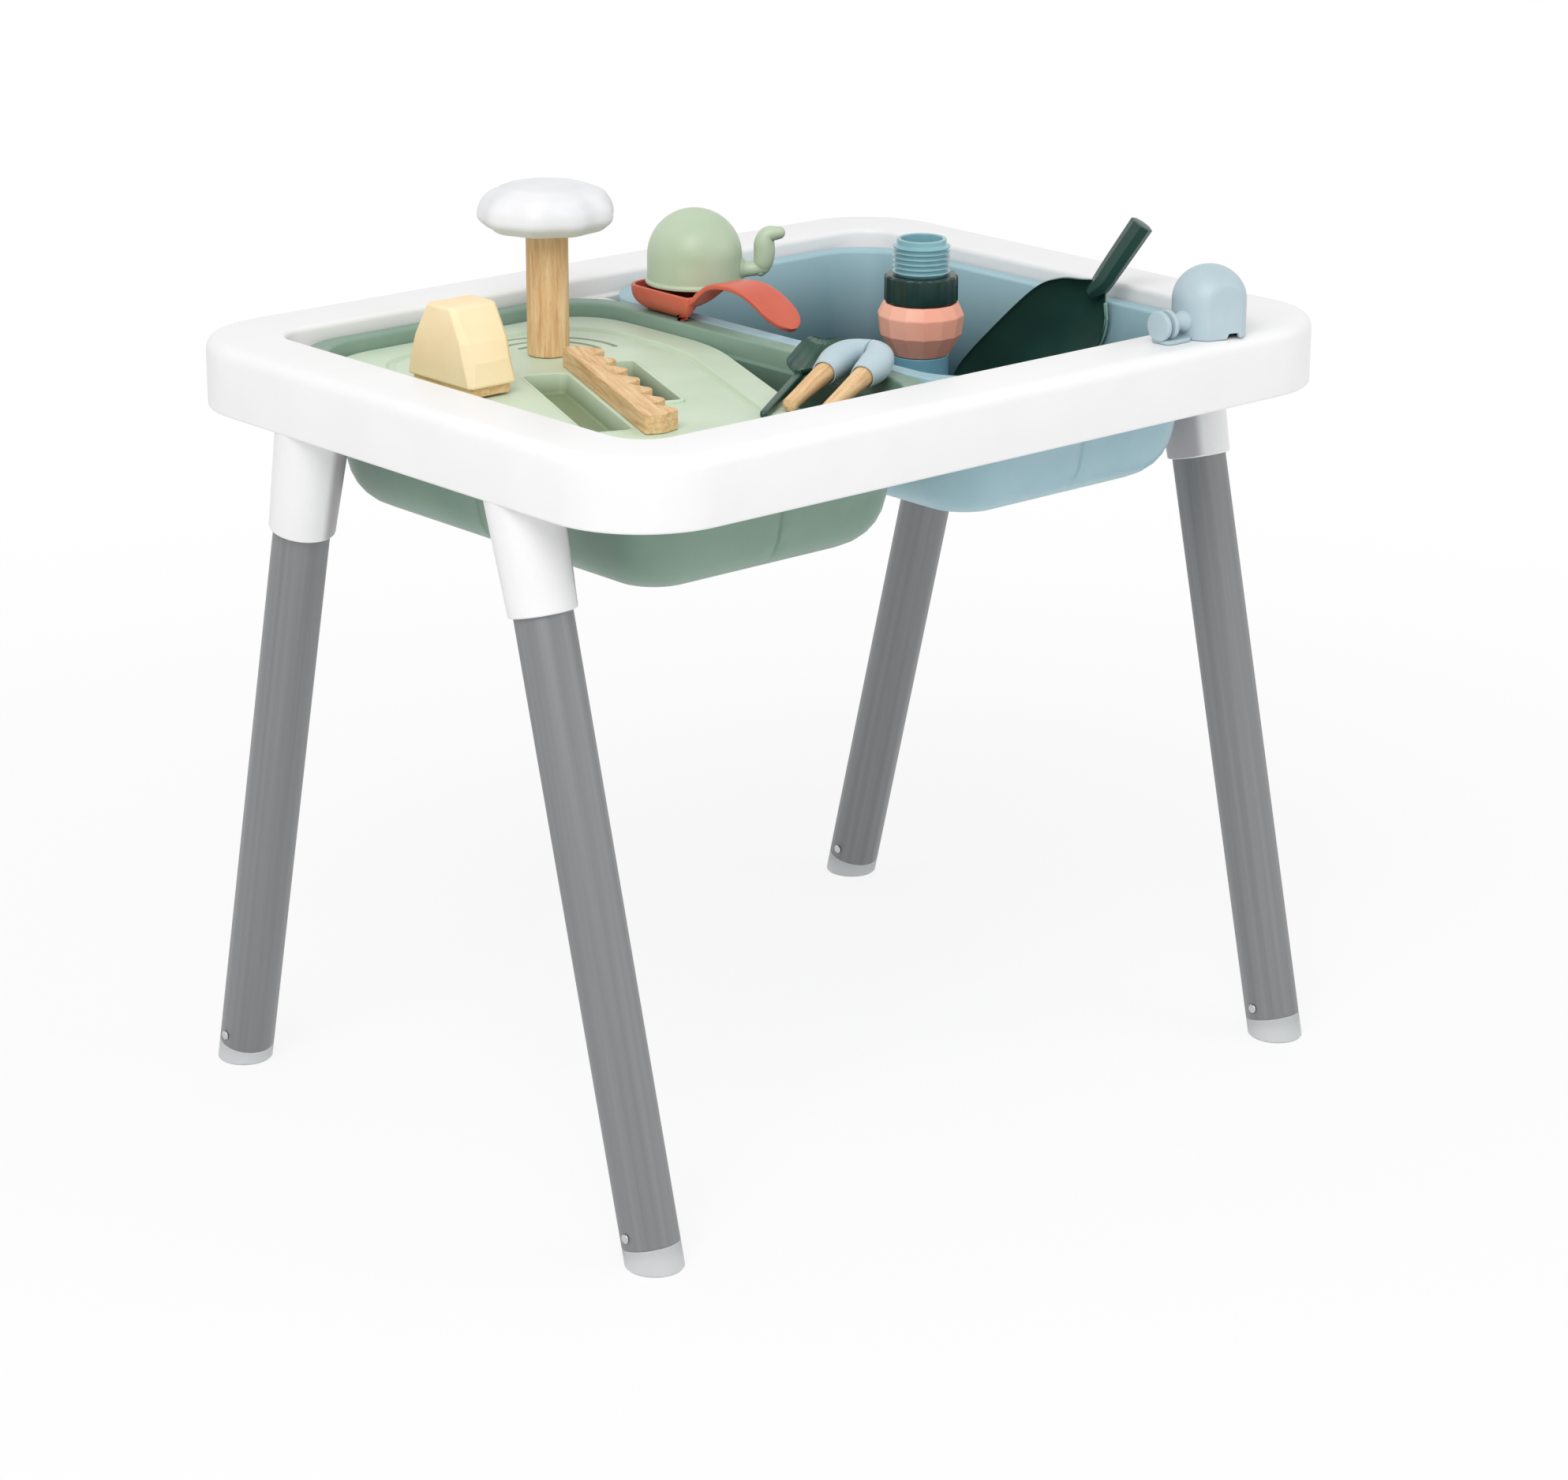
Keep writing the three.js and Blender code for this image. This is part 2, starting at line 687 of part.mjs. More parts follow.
// Mushroom stamp: a faceted white cap on a turned wooden stem
const stemDiameter = 27;
const stemHeight = 88;
const stemRound = 1.5;
const mushroomCapDiameter = 87;
const mushroomCapHeight = 28.4;
const mushroomSocketDepth = 7;
const mushroomFacets = 12;
const mushroomShares = [0.142, 0.473];

function makeStem() {
  const [x, y] = inSandBin(mushroomShares);
  const low = trayTop + seat;
  return turned([
    [0, low],
    [stemDiameter / 2 - stemRound, low],
    [stemDiameter / 2, low + stemRound],
    [stemDiameter / 2, low + stemHeight - stemRound],
    [stemDiameter / 2 - stemRound, low + stemHeight],
    [0, low + stemHeight],
  ]).translate([x, y, 0]);
}

// Radius and height shares of the cap, from under the stem round to the crown
const mushroomCapShares = [
  [0, 0.06], [0.45, 0.06], [0.6, 0], [0.84, 0.05], [1, 0.36], [0.96, 0.62], [0.82, 0.87], [0.55, 0.98], [0, 1],
];

function makeMushroomCap() {
  const [x, y] = inSandBin(mushroomShares);
  const stemTop = trayTop + seat + stemHeight;
  const low = stemTop - mushroomSocketDepth + seat;
  const profile = mushroomCapShares.map(([out, up]) => [
    out * (mushroomCapDiameter / 2), low + up * mushroomCapHeight,
  ]);
  const cap = turned(profile, mushroomFacets * 2);
  const socket = rod(stemDiameter / 2 + seat, -overrun, stemTop + seat);
  return cap.subtract(socket).translate([x, y, 0]);
}

addPiece('mushroom_stem', makeStem(), finish.wood);
addPiece('mushroom_cap', makeMushroomCap(), finish.white);

// Tapered block stamp: a pale leaning block on a wooden base
const blockBaseHeight = 7;
const blockHeight = 46.5;
const blockHalf = [18.5, 33];
const blockFootInset = 2.5;
const blockRadius = 4;
const blockPlaceShares = [-0.627, 0.266];
// Height share, then the low and high side in X and in Y as shares of the half sizes
const blockLevelShares = [
  [0, -1, 1, -1, 1],
  [0.3, -1, 1, -0.93, 0.9],
  [0.55, -1.02, 1.01, -0.8, 0.68],
  [1, -0.96, 0.97, -0.4, 0.3],
];

function makeBlockBase() {
  const [x, y] = inSandBin(blockPlaceShares);
  const low = lidTop + seat;
  const [halfX, halfY] = blockHalf.map((half) => half - blockFootInset);
  return block(halfX, halfY, blockRadius, low, low + blockBaseHeight, x, y);
}

function makeBlock() {
  const [x, y] = inSandBin(blockPlaceShares);
  const low = lidTop + blockBaseHeight + 2 * seat;
  return skin(blockLevelShares.map(([up, lowX, highX, lowY, highY]) => roundRect(
    x + (blockHalf[0] * (lowX + highX)) / 2,
    y + (blockHalf[1] * (lowY + highY)) / 2,
    (blockHalf[0] * (highX - lowX)) / 2,
    (blockHalf[1] * (highY - lowY)) / 2,
    blockRadius,
    low + up * blockHeight,
  )));
}

addPiece('block_base', makeBlockBase(), finish.wood);
addPiece('block_stamp', makeBlock(), finish.cream);

// Rake: a wooden bar with a row of zigzag teeth along one edge
const rakeLength = 186;
const rakeBack = 12;
const rakeTooth = 11;
const rakeThickness = 12;
const rakeTeeth = 7;
const rakeToothShares = [0.3, 0.5];
const rakeFromSlot = [-35.85, -20.32];

function makeRake() {
  const shape = new THREE.Shape();
  shape.moveTo(0, 0);
  shape.lineTo(rakeBack, 0);
  for (let i = 0; i < rakeTeeth; i += 1) {
    const pitch = rakeLength / rakeTeeth;
    for (const share of rakeToothShares) shape.lineTo(rakeBack + rakeTooth, (i + share) * pitch);
    shape.lineTo(rakeBack, (i + 1) * pitch);
  }
  shape.lineTo(0, rakeLength);
  shape.closePath();
  const low = trayTop + seat;
  const flat = plate(shape, low, low + rakeThickness)
    .translate([-(rakeBack + rakeTooth) / 2, -rakeLength / 2, 0]);
  const [x, y] = inSandBin(slotPlaceShares).map((place, i) => place + rakeFromSlot[i]);
  const along = new THREE.Vector3(slant.x, slant.y, 0);
  const up = new THREE.Vector3(0, 0, 1);
  return placed(flat, new THREE.Vector3(x, y, 0), along.clone().cross(up), along, up);
}

addPiece('rake', makeRake(), finish.wood);

// Sweeps a round section along a path of [x, y, z, radius] points, ends closed flat
function sweep(path, sides = 12) {
  const points = path.map(([x, y, z]) => new THREE.Vector3(x, y, z));
  return skin(points.map((point, i) => {
    const from = points[Math.max(i - 1, 0)];
    const to = points[Math.min(i + 1, points.length - 1)];
    const tangent = to.clone().sub(from).normalize();
    const [across, third] = sideAxes(tangent);
    return Array.from({ length: sides }, (_, k) => {
      const angle = (2 * Math.PI * k) / sides;
      const edge = point.clone()
        .addScaledVector(across, path[i][3] * Math.cos(angle))
        .addScaledVector(third, path[i][3] * Math.sin(angle));
      return edge.toArray();
    });
  }));
}

const steepShare = 0.9;

function sideAxes(tangent) {
  const helper = Math.abs(tangent.z) > steepShare ? new THREE.Vector3(1, 0, 0) : new THREE.Vector3(0, 0, 1);
  const across = helper.clone().cross(tangent).normalize();
  return [across, tangent.clone().cross(across)];
}

// Ladle: a cut-cornered dish on the bins' meeting lips, with an arched strap handle from its near corner
const dishWall = 2.2;
const dishHeight = 17;
const dishPlaceShare = 0.53;
const dishMiddle = 34.8;
// Each corner's place from the dish's middle, and its radius
const dishPlan = [
  [-36.4, -34.7, 4], [-29.6, -35.5, 4], [22.4, 10.3, 10], [18.4, 30.3, 9], [-35.6, 30.3, 14],
];
const strapFrom = [-28.6, -27.7];
const strapTo = [-0.6, -98.7];
const strapRise = 24;
const strapThickness = 4;
const strapEdgeShare = 0.4;
const strapSteps = 16;
const strapWidths = [13, 28];
const strapWideShare = 0.45;
const strapShares = [[0, 0.35], [0.12, 0.55], [0.28, 0.95], [0.45, 1.06], [0.62, 0.97], [0.8, 0.62], [1, 0]];
const dishLeft = -dividerHalfGap - lipWidth;
const dishCentre = [dishLeft + dishMiddle, dishPlaceShare * binHalfY];
const dishBottom = lipTop + seat;

function makeLadle() {
  const [x, y] = dishCentre;
  const corners = dishPlan.map(([outX, outY]) => [x + outX, y + outY]);
  const radii = dishPlan.map(([, , radius]) => radius);
  const outline = corners.map(([cornerX, cornerY], i) => [cornerX, cornerY, radii[i]]);
  const outside = plate(roundedPolygon(outline), dishBottom, dishBottom + dishHeight);
  const hollow = roundedPolygon(insetOutline(corners, dishWall, radii));
  const inside = plate(hollow, dishBottom + dishWall, dishBottom + dishHeight + strapRise);
  const curve = new THREE.CatmullRomCurve3(strapShares.map(([along, rise]) => new THREE.Vector3(
    x + strapFrom[0] + along * (strapTo[0] - strapFrom[0]),
    y + strapFrom[1] + along * (strapTo[1] - strapFrom[1]),
    dishBottom + strapThickness / 2 + rise * strapRise,
  )));
  const strap = skin(Array.from({ length: strapSteps + 1 }, (_, i) => {
    const share = i / strapSteps;
    const point = curve.getPoint(share);
    const tangent = curve.getTangent(share);
    const normal = new THREE.Vector3(0, -tangent.z, tangent.y).normalize().multiplyScalar(-1);
    const wide = Math.min(1, share / strapWideShare);
    const halfWidth = (strapWidths[0] + wide * (strapWidths[1] - strapWidths[0])) / 2;
    const section = roundRect(0, 0, halfWidth, strapThickness / 2, strapThickness * strapEdgeShare, 0, 2);
    return section.map(([u, v]) => [point.x + u, point.y + v * normal.y, point.z + v * normal.z]);
  }));
  return outside.subtract(inside).add(strap.subtract(inside));
}

addPiece('ladle', makeLadle(), finish.coral);

// Hollow domed mould: a round wall with a domed top, open underneath
const domeLevelShares = [0.33, 0.66, 0.88];

function domeShell(radius, straight, crown, wall, low, sides = 20) {
  const profile = (r, top, base) => {
    const points = [[0, base], [r, base], [r, low + straight]];
    for (const share of domeLevelShares) {
      const angle = (Math.PI / 2) * share;
      points.push([r * Math.cos(angle), low + straight + top * Math.sin(angle)]);
    }
    points.push([0, low + straight + top]);
    return points;
  };
  return turned(profile(radius, crown, low), sides)
    .subtract(turned(profile(radius - wall, crown - wall, low - overrun), sides));
}

const sageRadius = 31.3;
const sageStraight = 18.2;
const sageCrown = 31;
const mouldWall = 2;
const armReach = 46;
const armDegrees = -44;
const armLinkHeight = 10;
const armLinkRadius = 4.8;
const armRadius = 7;
const armLow = 6;
const armHigh = 33;
const armCurl = 14;
const armEndShares = [0.6, 0.8, 0.5];

function makeSageMould() {
  const low = dishBottom + dishHeight + seat;
  const shell = domeShell(sageRadius, sageStraight, sageCrown, mouldWall, low);
  const turn = THREE.MathUtils.degToRad(armDegrees);
  const at = (reach, z, radius) => [reach * Math.cos(turn), reach * Math.sin(turn), low + z, radius];
  const [footShare, bendShare, tipShare] = armEndShares;
  const link = sweep([
    at(sageRadius - mouldWall / 2, armLinkHeight, armLinkRadius),
    at(armReach, armLinkHeight, armLinkRadius),
  ]);
  const upright = sweep([
    at(armReach, armLow, armRadius * footShare),
    at(armReach, armLow + armRadius / 2, armRadius),
    at(armReach, armHigh - armRadius, armRadius),
    at(armReach + armRadius / 2, armHigh, armRadius * bendShare),
    at(armReach + armCurl, armHigh + armRadius / 4, armRadius * tipShare),
  ]);
  return shell.add(link).add(upright).translate([dishCentre[0], dishCentre[1], 0]);
}

addPiece('sage_mould', makeSageMould(), finish.sage);

// Small domed mould on the rim, with a ribbed tail on a foot plate
const rimMouldShare = 0.632;
const rimMouldRadius = 23.7;
const rimMouldStraight = 22;
const rimMouldCrown = 22.5;
const tailReach = 45;
const tailRadius = 9.5;
const tailFinThickness = 3.5;
const tailFinPitch = 7;
const tailCoreRadius = 4;
const tailHeight = 11;
const tailPlateThickness = 2.5;
const tailPlateHalf = 9;

function makeRimMould() {
  const low = tableHeight + seat;
  const shell = domeShell(rimMouldRadius, rimMouldStraight, rimMouldCrown, mouldWall, low);
  const inner = rimMouldRadius - mouldWall / 2;
  let tail = sweep([
    [-inner, 0, low + tailHeight, tailCoreRadius],
    [-tailReach, 0, low + tailHeight, tailCoreRadius],
  ]);
  for (const fin of [0, 1]) {
    const x = -tailReach + fin * tailFinPitch;
    tail = tail.add(sweep([
      [x - tailFinThickness / 2, 0, low + tailHeight, tailRadius],
      [x + tailFinThickness / 2, 0, low + tailHeight, tailRadius],
    ]));
  }
  const plateHalfX = (tailReach - inner) / 2;
  const foot = block(
    plateHalfX, tailPlateHalf, tailPlateThickness, low, low + tailPlateThickness, -inner - plateHalfX, 0,
  );
  const place = [rimMouldShare * (tableLength / 2), -(tableWidth - rimWidth) / 2, 0];
  return shell.add(tail).add(foot).translate(place);
}

addPiece('rim_mould', makeRimMould(), finish.mist);

// Stacking tower: tumbler, strainer cup, knurled collar and ribbed neck
const towerShares = [-0.235, -0.225];
const towerWall = 2;
const tumblerRadius = 18.5;
const tumblerHeight = 79;
const cupRadii = [18.5, 28.6, 28.6, 23.5];
const cupHeights = [0, 16, 24, 34.5];
const collarRadius = 24;
const collarHeight = 18;
const collarRibs = 16;
const collarRibDepth = 0.9;
const neckRadius = 18.8;
const neckGroove = 1.6;
const neckRibs = 5;
const neckSides = 16;
const neckPitch = 4.6;
const neckCrestShare = 0.55;
const neckBore = 13.5;
const spigotRadius = 16;
const spigotLength = 12;

function hollowTurned(profile, wall, floor, sides = 20) {
  const low = profile[0][1];
  const top = profile[profile.length - 1][1];
  const outer = turned([[0, low], ...profile, [0, top]], sides);
  const walls = profile.slice(1, -1).map(([radius, z]) => [radius - wall, z]);
  const bottomRadius = profile[0][0] - wall;
  const topRadius = profile[profile.length - 1][0] - wall;
  const inner = turned([
    [0, low + floor],
    [bottomRadius, low + floor],
    ...walls,
    [topRadius, top],
    [topRadius, top + overrun],
    [0, top + overrun],
  ], sides);
  return outer.subtract(inner);
}

const towerLow = binFloorTop + seat;
const cupLow = towerLow + tumblerHeight + seat;
const collarLow = cupLow + Math.max(...cupHeights) + seat;
const neckLow = collarLow + collarHeight + seat;
const [towerX, towerY] = inWaterBin(towerShares);

function makeTumbler() {
  const profile = [
    [tumblerRadius - towerWall, towerLow],
    [tumblerRadius, towerLow + towerWall * 2],
    [tumblerRadius, towerLow + tumblerHeight],
  ];
  return hollowTurned(profile, towerWall, towerWall).translate([towerX, towerY, 0]);
}

function makeCup() {
  const profile = cupRadii.map((radius, i) => [radius, cupLow + cupHeights[i]]);
  return hollowTurned(profile, towerWall, towerWall).translate([towerX, towerY, 0]);
}

function makeCollar() {
  const shape = new THREE.Shape();
  const count = collarRibs * 2;
  for (let i = 0; i < count; i += 1) {
    const radius = collarRadius - (i % 2) * collarRibDepth;
    const angle = (2 * Math.PI * i) / count;
    const point = [radius * Math.cos(angle), radius * Math.sin(angle)];
    if (i === 0) shape.moveTo(...point);
    else shape.lineTo(...point);
  }
  shape.closePath();
  return plate(shape, collarLow, collarLow + collarHeight)
    .subtract(rod(spigotRadius + seat, collarLow - overrun, neckLow + overrun))
    .translate([towerX, towerY, 0]);
}

function makeNeck() {
  const profile = [[spigotRadius, neckLow - spigotLength], [spigotRadius, neckLow]];
  for (let i = 0; i < neckRibs; i += 1) {
    const base = neckLow + i * neckPitch;
    profile.push([neckRadius - neckGroove, base]);
    profile.push([neckRadius, base + neckPitch * neckCrestShare]);
    if (i === neckRibs - 1) profile.push([neckRadius - neckGroove, base + neckPitch]);
  }
  const top = neckLow + neckRibs * neckPitch;
  const outer = turned([[0, neckLow - spigotLength], ...profile, [0, top]], neckSides);
  return outer.subtract(rod(neckBore, neckLow - spigotLength - overrun, top + overrun, 0, 0, neckSides))
    .translate([towerX, towerY, 0]);
}

addPiece('tower_tumbler', makeTumbler(), finish.teal);
addPiece('tower_cup', makeCup(), finish.peach);
addPiece('tower_collar', makeCollar(), finish.pine);
addPiece('tower_neck', makeNeck(), finish.teal);

// A curved blade as sections along its axis. A station holds the share of the length, of the half
// width and of the dish depth there, and how far the edges lift as a share of that depth
const bladeSpreadShares = [-1, -0.6, -0.2, 0.2, 0.6, 1];

function bladeOf(frameAxes, origin, length, halfWidth, depth, thickness, stationShares) {
  const { across, normal, along } = frameAxes;
  const rings = stationShares.map(([alongShare, widthShare, depthShare, liftShare]) => {
    const point = (u, extra) => {
      const bend = depth * depthShare * (u * u - 1) + liftShare * depth + extra;
      return origin.clone()
        .addScaledVector(along, alongShare * length)
        .addScaledVector(across, u * halfWidth * widthShare)
        .addScaledVector(normal, bend)
        .toArray();
    };
    const back = [...bladeSpreadShares].reverse();
    return [...bladeSpreadShares.map((u) => point(u, 0)), ...back.map((u) => point(u, thickness))];
  });
  return skin(rings);
}

// Scoop: a trough blade and a round handle, standing in the water bin against its lip
const scoopTipPlace = [59.9, 20.8];
const scoopTipHeight = 7.2;
const scoopNeckPlace = [22.6, -70.9];
const scoopNeckHeight = 12.7;
const scoopHandle = [17, -21, 43];
const scoopHalfWidth = 30;
const scoopDepth = 9;
const scoopThickness = 2.4;
const scoopHandleRadius = 8.2;
const scoopFacingShares = [-0.63, -0.71, 0.32];
// Place along the handle and radius there, as shares of its length and radius
const scoopHandleShares = [[0, 0.73], [0.25, 0.91], [0.96, 1], [1, 0.85]];
const scoopRootShare = 0.37;
const scoopStationShares = [
  [0, 0.3, 0.1, 0.35], [0.06, 0.62, 0.35, 0.2], [0.2, 0.92, 0.8, 0], [0.45, 1, 1, 0],
  [0.75, 0.98, 1, 0], [0.88, 0.75, 0.9, 0], [0.96, 0.38, 0.5, 0], [1, 0.2, 0.1, 0],
];

function bladeAxes(from, to, facing) {
  const along = to.clone().sub(from).normalize();
  const normal = facing.clone().addScaledVector(along, -facing.dot(along)).normalize();
  return { along, normal, across: normal.clone().cross(along) };
}

function makeScoop() {
  const [tipX, tipY] = fromWaterEnd(scoopTipPlace);
  const [neckX, neckY] = fromWaterEnd(scoopNeckPlace);
  const tip = new THREE.Vector3(tipX, tipY, binFloorTop + scoopTipHeight);
  const neck = new THREE.Vector3(neckX, neckY, lipTop + scoopNeckHeight);
  const axes = bladeAxes(tip, neck, new THREE.Vector3(...scoopFacingShares));
  const length = neck.distanceTo(tip);
  const blade = bladeOf(axes, tip, length, scoopHalfWidth, scoopDepth, scoopThickness, scoopStationShares);
  const end = neck.clone().add(new THREE.Vector3(...scoopHandle));
  const root = neck.clone().addScaledVector(axes.along, -scoopHandleRadius);
  const handle = sweep([
    [...root.toArray(), scoopHandleRadius * scoopRootShare],
    ...scoopHandleShares.map(([along, size]) => [
      ...neck.clone().lerp(end, along).toArray(), scoopHandleRadius * size,
    ]),
  ]);
  return blade.add(handle);
}

addPiece('scoop', makeScoop(), finish.pine);

// Spade: a leaf blade and a slim stem, from the lid across to the sand bin's lip
const spadeTipPlace = [2.8, 120.6];
const spadeTipHeight = 4.5;
const spadeEndPlace = [119.2, 46.6];
const spadeBladeShare = 0.44;
const spadeHalfWidth = 14;
const spadeDepth = 7;
const spadeThickness = 2;
const spadeStemRadius = 2.6;
const spadeRootShares = [0.12, 0.7];
const spadeStationShares = [
  [0, 0.16, 0.1, 0.4], [0.12, 0.5, 0.5, 0.3], [0.35, 0.95, 1, 0.25], [0.6, 1, 1, 0.25],
  [0.85, 0.65, 0.8, 0.5], [0.96, 0.3, 0.4, 0.8], [1, 0.12, 0.1, 1],
];

function makeSpade() {
  const [tipX, tipY] = fromSandCorner(spadeTipPlace);
  const [endX, endY] = fromSandCorner(spadeEndPlace);
  const tip = new THREE.Vector3(tipX, tipY, lipTop + spadeTipHeight);
  const end = new THREE.Vector3(endX, endY, trayTop + 2 * seat + spadeStemRadius);
  const root = end.clone().lerp(tip, 1 - spadeBladeShare);
  const axes = bladeAxes(root, tip, new THREE.Vector3(0, 0, 1));
  const length = tip.distanceTo(root);
  const blade = bladeOf(axes, root, length, spadeHalfWidth, spadeDepth, spadeThickness, spadeStationShares);
  const into = root.clone().lerp(tip, spadeRootShares[0]);
  const stem = sweep([
    [...end.toArray(), spadeStemRadius],
    [...root.toArray(), spadeStemRadius],
    [...into.toArray(), spadeStemRadius * spadeRootShares[1]],
  ]);
  return blade.add(stem);
}

addPiece('spade', makeSpade(), finish.forest);

// Tongs: a two-part springy yoke with a tapered wooden leg in each arm
const tongsTipPlace = [91.6, 36.1];
const tongsHeadPlace = [25.5, 65.3];
const tongsTipRadius = 4.5;
const tongsTipSpread = 12.8;
const tongsLegRadius = 6.5;
const tongsLegSocket = 12;
const yokeSpread = 12.8;
const yokeLength = 43;
const yokeSplit = 0.25;
const yokeRadius = 10.2;
const yokeRestShare = 0.84;
// Place along the yoke, sideways place and radius there, as shares of the three sizes above
const yokeStationShares = [
  [0, 1, 0.77], [0.14, 1, 0.87], [0.42, 1.02, 1], [0.7, 0.86, 0.94], [0.88, 0.5, 0.79], [1, 0.1, 0.62],
];

function makeTongs(side) {
  const [tipX, tipY] = fromSandCorner(tongsTipPlace);
  const [headX, headY] = fromSandCorner(tongsHeadPlace);
  const tip = new THREE.Vector3(tipX, tipY, lidTop + seat + tongsTipRadius);
  const head = new THREE.Vector3(headX, headY, lipTop + seat + yokeRadius * yokeRestShare);
  const axis = head.clone().sub(tip).normalize();
  const across = new THREE.Vector3(0, 0, 1).cross(axis).normalize();
  const up = axis.clone().cross(across);
  const socket = head.clone().addScaledVector(axis, -yokeLength / 2);
  const reach = socket.distanceTo(tip);
  const local = (solid) => placed(solid, socket, axis, across, up);
  const yokeSolid = sweep(yokeStationShares.map(([along, out, size]) => [
    along * yokeLength, side * out * yokeSpread, 0, size * yokeRadius,
  ]));
  const keepY = side * (yokeLength + yokeSplit);
  const keep = block(yokeLength * 2, yokeLength, overrun, -yokeLength, yokeLength, 0, keepY);
  const legEnd = side * yokeSpread;
  const legTip = [-reach, side * tongsTipSpread, 0, tongsTipRadius];
  const legRoot = [0, legEnd, 0, tongsLegRadius];
  const legTop = [tongsLegSocket, legEnd, 0, tongsLegRadius];
  const boreRadius = tongsLegRadius + seat;
  const bore = sweep([[-overrun, legEnd, 0, boreRadius], [tongsLegSocket + seat, legEnd, 0, boreRadius]]);
  const yoke = yokeSolid.intersect(keep).subtract(bore);
  const rounded = [-reach - tongsTipRadius / 2, side * tongsTipSpread, 0, tongsTipRadius / 2];
  const wood = sweep([rounded, legTip, legRoot, legTop]);
  return [local(yoke), local(wood)];
}

for (const [name, side] of [['left', 1], ['right', -1]]) {
  const [yoke, wood] = makeTongs(side);
  addPiece(`tongs_yoke_${name}`, yoke, finish.mist);
  addPiece(`tongs_leg_${name}`, wood, finish.wood);
}

export default parts;
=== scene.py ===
"""Dresses the sand and water play table: a white rim frame on four splayed tube legs, two lift-out bins,
a tray lid in the sand bin, and the loose sand and water toys.

Every shape is a grid of points worked out with numpy. A ring is a closed outline, and a piece is a
stack of rings, or a section carried along a path. A profile is a table with a row for each corner: its
place, mostly a radius or an inset and a height, and the fillet that rounds it. Sizes are the fields of
each class, in millimetres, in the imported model's own frame, and a mesh is put in metres when it is made.
"""

from __future__ import annotations

import logging
import math
from collections.abc import Sequence
from dataclasses import dataclass, field
from enum import Enum

import bmesh
import bpy
import numpy as np
from bpy.types import Material, Mesh, Node, NodeSocket, NodeTree, Object
from mathutils import Matrix, Vector


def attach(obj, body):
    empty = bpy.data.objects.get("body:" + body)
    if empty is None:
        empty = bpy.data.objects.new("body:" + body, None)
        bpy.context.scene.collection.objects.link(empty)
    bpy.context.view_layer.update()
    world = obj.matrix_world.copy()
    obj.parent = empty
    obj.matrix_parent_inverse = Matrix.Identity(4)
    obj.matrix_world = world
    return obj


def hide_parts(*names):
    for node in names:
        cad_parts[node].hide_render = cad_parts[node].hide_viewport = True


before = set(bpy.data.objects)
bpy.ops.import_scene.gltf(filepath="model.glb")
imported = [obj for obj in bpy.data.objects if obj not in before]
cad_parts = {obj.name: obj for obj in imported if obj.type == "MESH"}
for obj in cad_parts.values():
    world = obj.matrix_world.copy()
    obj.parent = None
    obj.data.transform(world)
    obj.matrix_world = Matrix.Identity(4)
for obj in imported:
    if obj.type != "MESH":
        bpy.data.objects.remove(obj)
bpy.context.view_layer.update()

Array = np.ndarray
Pair = tuple[float, float]
Triple = tuple[float, float, float]
Rows = Sequence[Sequence[float]]

LOG = logging.getLogger("play_table")
MM = 0.001
UP = np.array([0.0, 0.0, 1.0])
WELD_MM = 0.002
BEVEL_FROM_DEGREES = 25.0
CREASE_DEGREES = 35.0
WHITE = "ffffff"
# A dome stops this share of the way to its pole, so that its last ring keeps a width
NEAR_POLE = 0.985


class Side(Enum):
    """The four legs, with the sign of X and of Y at each."""

    FRONT_LEFT = ("front_left", -1, -1)
    FRONT_RIGHT = ("front_right", 1, -1)
    REAR_LEFT = ("rear_left", -1, 1)
    REAR_RIGHT = ("rear_right", 1, 1)


# Colours, nodes and finishes


def linear(code: str) -> tuple[float, ...]:
    """Turns an sRGB hex colour into linear red, green, blue and alpha.

    Args:
        code: Six hex digits, such as "f4f4f2".

    Returns:
        The linear colour with an alpha of 1.
    """
    srgb = np.array([int(code[i : i + 2], 16) for i in (0, 2, 4)]) / 255
    low, high = srgb / 12.92, ((srgb + 0.055) / 1.055) ** 2.4
    return (*np.where(srgb <= 0.04045, low, high).tolist(), 1.0)


def add_node(
    tree: NodeTree,
    kind: str,
    values: dict[str | int, object] | None = None,
    stops: Sequence[tuple[float, str]] = (),
    **settings: object,
) -> Node:
    """Adds a node, sets its properties, fills or links its inputs and places its colour stops.

    Args:
        tree: The node tree that gets the node.
        kind: Blender's name for the node type, without its "ShaderNode".
        values: Inputs by name or number, each with a value or the output socket to link.
        stops: A colour ramp's positions and hex colours, in order.
        settings: The node's own properties.

    Returns:
        The new node.
    """
    node = tree.nodes.new("ShaderNode" + kind)
    for name, value in settings.items():
        setattr(node, name, value)
    for key, value in (values or {}).items():
        if isinstance(value, NodeSocket):
            tree.links.new(value, node.inputs[key])
        else:
            node.inputs[key].default_value = value
    if stops:
        elements = node.color_ramp.elements
        for element, (position, code) in zip(elements, (stops[0], stops[-1])):
            element.position, element.color = position, linear(code)
        for position, code in stops[1:-1]:
            elements.new(position).color = linear(code)
    return node


def per_metre(size_mm: float) -> float:
    """Gives the noise scale whose grains are this many millimetres across."""
    return 1 / (size_mm * MM)


def blank_material(name: str) -> tuple[Material, NodeTree]:
    """Makes a material without nodes.

    Args:
        name: The material's name.

    Returns:
        The material and its node tree.
    """
    material = bpy.data.materials.new(name)
    material.use_nodes = True
    material.node_tree.nodes.clear()
    return material, material.node_tree


